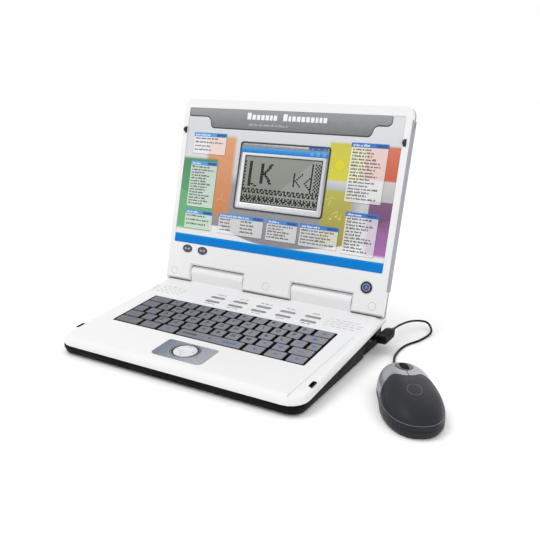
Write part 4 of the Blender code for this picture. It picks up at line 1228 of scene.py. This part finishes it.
def mouse():
    xs = [-34 + i * 2.0 for i in range(35)]
    edge = [(x, front_edge(x)) for x in xs]
    cover = [(-40, -80), (40, -80), (40, edge[-1][1] - 0.3)]
    cover += [*[(x, y - 0.3) for x, y in reversed(edge)], (-40, edge[0][1] - 0.3)]
    clipped("mouse_palm_cover", cover, "mouse", COVER, ("mouse_cover",))
    wy, wz, radius = WHEEL
    for name, side in (("mouse_left_button", -1), ("mouse_right_button", 1)):
        outline = [(0.35, front_edge(0) + 0.35)]
        outline += [(x, front_edge(x) + 0.35) for x in range(2, 36, 2)]
        outline += [(36, 80), (0.35, 80), (0.35, wy + 13.7)]
        turns = [math.radians(a) for a in range(80, -81, -10)]
        outline += [(8.9 * math.cos(a), wy + 13.6 * math.sin(a)) for a in turns]
        outline += [(0.35, wy - 13.7)]
        outline = [(side * x, y) for x, y in outline][::side]
        clipped(name + "_shell", outline, name, SILVER, (name,), bevel=0.45)
    clipped(
        "mouse_wheel_bezel", ellipse(8.4, 13.1, y=wy, n=40), "mouse", GLOSS,
        hole=rounded(-3.9, wy - 10.6, 3.9, wy + 10.6, 3.4, 9), low=14.0, bevel=0.3,
    )
    oval = [(x, y, height(x, y) + 0.05) for x, y in ellipse(6.3, 11.6, y=wy, n=48)]
    trim = Shape().tube(oval, 0.28, close=True)
    grey = plastic("ring_grey", "8C8E95", 0.3, metal=0.5)
    trim.piece("mouse_bezel_ring", MOUSE, "mouse", "wheel_rubber", grey, smooth=60)
    oval = [(x, y, height(x, y)) for x, y in ellipse(6.8, 9.0, y=-21, n=48)]
    circle = Shape().tube(oval, 0.24, close=True)
    grey = plastic("circle_grey", "6E7078", 0.35)
    circle.piece("mouse_circle", MOUSE, "mouse", "mouse_dark", grey, smooth=60)
    around = dome_ring(13)
    rear = [around[k % 96] for k in range(42, 103)]
    thick = [0.05, *[0.24] * (len(rear) - 2), 0.05]
    seam = Shape().tube([(x, y, z + 0.02) for x, y, z in rear], thick)
    grey = plastic("seam_grey", "7C7E86", 0.35)
    seam.piece("mouse_seam_line", MOUSE, "mouse", "mouse_dark", grey, smooth=60)
    section = ((0.992, 7.7), (0.992, 9.8), (0.93, 9.8), (0.93, 7.7))
    band = Shape().loft([[(x * k, y * k, z) for k, z in section] for x, y, _ in dome_ring(0)[50:95]])
    band.piece("mouse_parting_band", MOUSE, "mouse", "mouse_dark", CHARCOAL, smooth=50)
    rings = []
    for x, inset in ((-3.2, 1.2), (-2.6, 0.3), (-2.0, 0.0), (2.0, 0.0), (2.6, 0.3), (3.2, 1.2)):
        ring = []
        for k in range(72):
            a = 2 * math.pi * k / 72
            r = radius - inset - (0.5 if k % 3 == 0 and abs(x) < 2.5 else 0.0)
            ring.append((x, wy + r * math.cos(a), wz + r * math.sin(a)))
        rings.append(ring)
    tyre = Shape().loft(rings)
    tyre.piece(
        "mouse_wheel_tyre", MOUSE, "mouse_wheel", "wheel_rubber", RUBBER, smooth=30, replaces=("mouse_wheel",)
    )


# ---- cord and plug ------------------------------------------------------------------
# the same route as the CAD's cord, in millimetres from the middle of the base's front edge
CORD_THROUGH = [
    (164.0, 220.8, 20.0), (164.5, 250.0, 17.5), (168.0, 288.0, 11.0), (181.0, 304.0, 6.5),
    (193.0, 283.0, 3.0), (189.0, 255.0, 1.6), (179.0, 226.0, 1.6), (180.0, 190.0, 2.2),
]


def catmull(points, per_span):
    """A smooth curve through the points."""
    ends = [points[0] * 2 - points[1], *points, points[-1] * 2 - points[-2]]
    out = []
    for a, b, c, d in zip(ends, ends[1:], ends[2:], ends[3:]):
        for i in range(per_span):
            t = i / per_span
            square, cube = 2 * a - 5 * b + 4 * c - d, 3 * b - a - 3 * c + d
            out.append(0.5 * (2 * b + (c - a) * t + square * t * t + cube * t**3))
    return [*out, points[-1]]


def cord_and_plug():
    back_to_root = ROOT.inverted() @ MOUSE
    half = MOUSE_SIZE[1] / 2
    ends = (0, half + 16, 4.6), (0, half + 0.3, 6.4)
    ahead, nose = (back_to_root @ (Vector(p) * MM) / MM for p in ends)
    points = catmull([*[Vector(p) for p in CORD_THROUGH], ahead, nose], 7)[::-1]
    black = plastic("cord_black", "040405", 0.45, 0.08, 1500.0, 0.00003, specular=0.12)
    cord = Shape().tube(points, CORD_D / 2, sides=12)
    obj = cord.piece("mouse_cord_sheath", ROOT, None, "cord", black, smooth=60, replaces=("mouse_cord",))
    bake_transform(obj)
    barrel, grip = Shape(), Shape()
    s, z = PORT
    turns = [2 * math.pi * k / 40 for k in range(40)]
    profile = [
        (143.5, 4.6), (149.9, 4.6), (150.0, 4.95), (158.6, 5.0), (158.8, 4.6), (159.6, 4.6), (159.8, 5.0),
        (164.6, 5.0), (165.6, 4.6), (166.0, 3.9), (166.0, 3.0), (165.4, 2.9), (165.4, 0.4),
    ]
    barrel.loft([[(x, s + r * math.cos(a), z + r * math.sin(a)) for a in turns] for x, r in profile])
    places = [(-6.5, 0.82), (-5.9, 0.95), (-4.0, 1.0)]
    for k in range(6):
        y = -2.0 + k * 3.4
        places += [(y, 1.0), (y + 0.25, 0.9), (y + 1.2, 0.9), (y + 1.45, 1.0)]
    places += [(20.0, 1.0), (24.0, 0.86), (27.3, 0.7), (27.5, 0.5)]
    section = rounded(157.7, 14.5, 169.8, 24.5, 2.2, 4)
    cx, cz = 163.75, 19.5
    grip.loft([[(cx + (x - cx) * k, s + y, cz + (h - cz) * k) for x, h in section] for y, k in places])
    one = barrel.piece("plug_barrel", ROOT, "base", "plug", GLOSS_BLACK, smooth=40, replaces=("mouse_plug",))
    two = grip.piece("plug_grip", ROOT, "base", "plug", black, smooth=40)
    relief = Shape()
    for k in range(4):
        x, y, h = points[-1]
        relief.loft(
            [
                [(x + r * math.cos(a), y - 1.0 + k * 1.8 + d, h + r * math.sin(a)) for a in turns[::2]]
                for d, r in ((0.0, 1.2), (0.2, 2.1 - 0.15 * k), (1.2, 2.1 - 0.15 * k), (1.5, 1.2))
            ]
        )
    three = relief.piece("plug_strain_relief", ROOT, "base", "plug", black, smooth=40)


deck()
keyboard()
function_buttons()
touchpad()
lid()
gap_lines()
sides()
back()
underside()
solids()
tray_band()
mouse()
cord_and_plug()
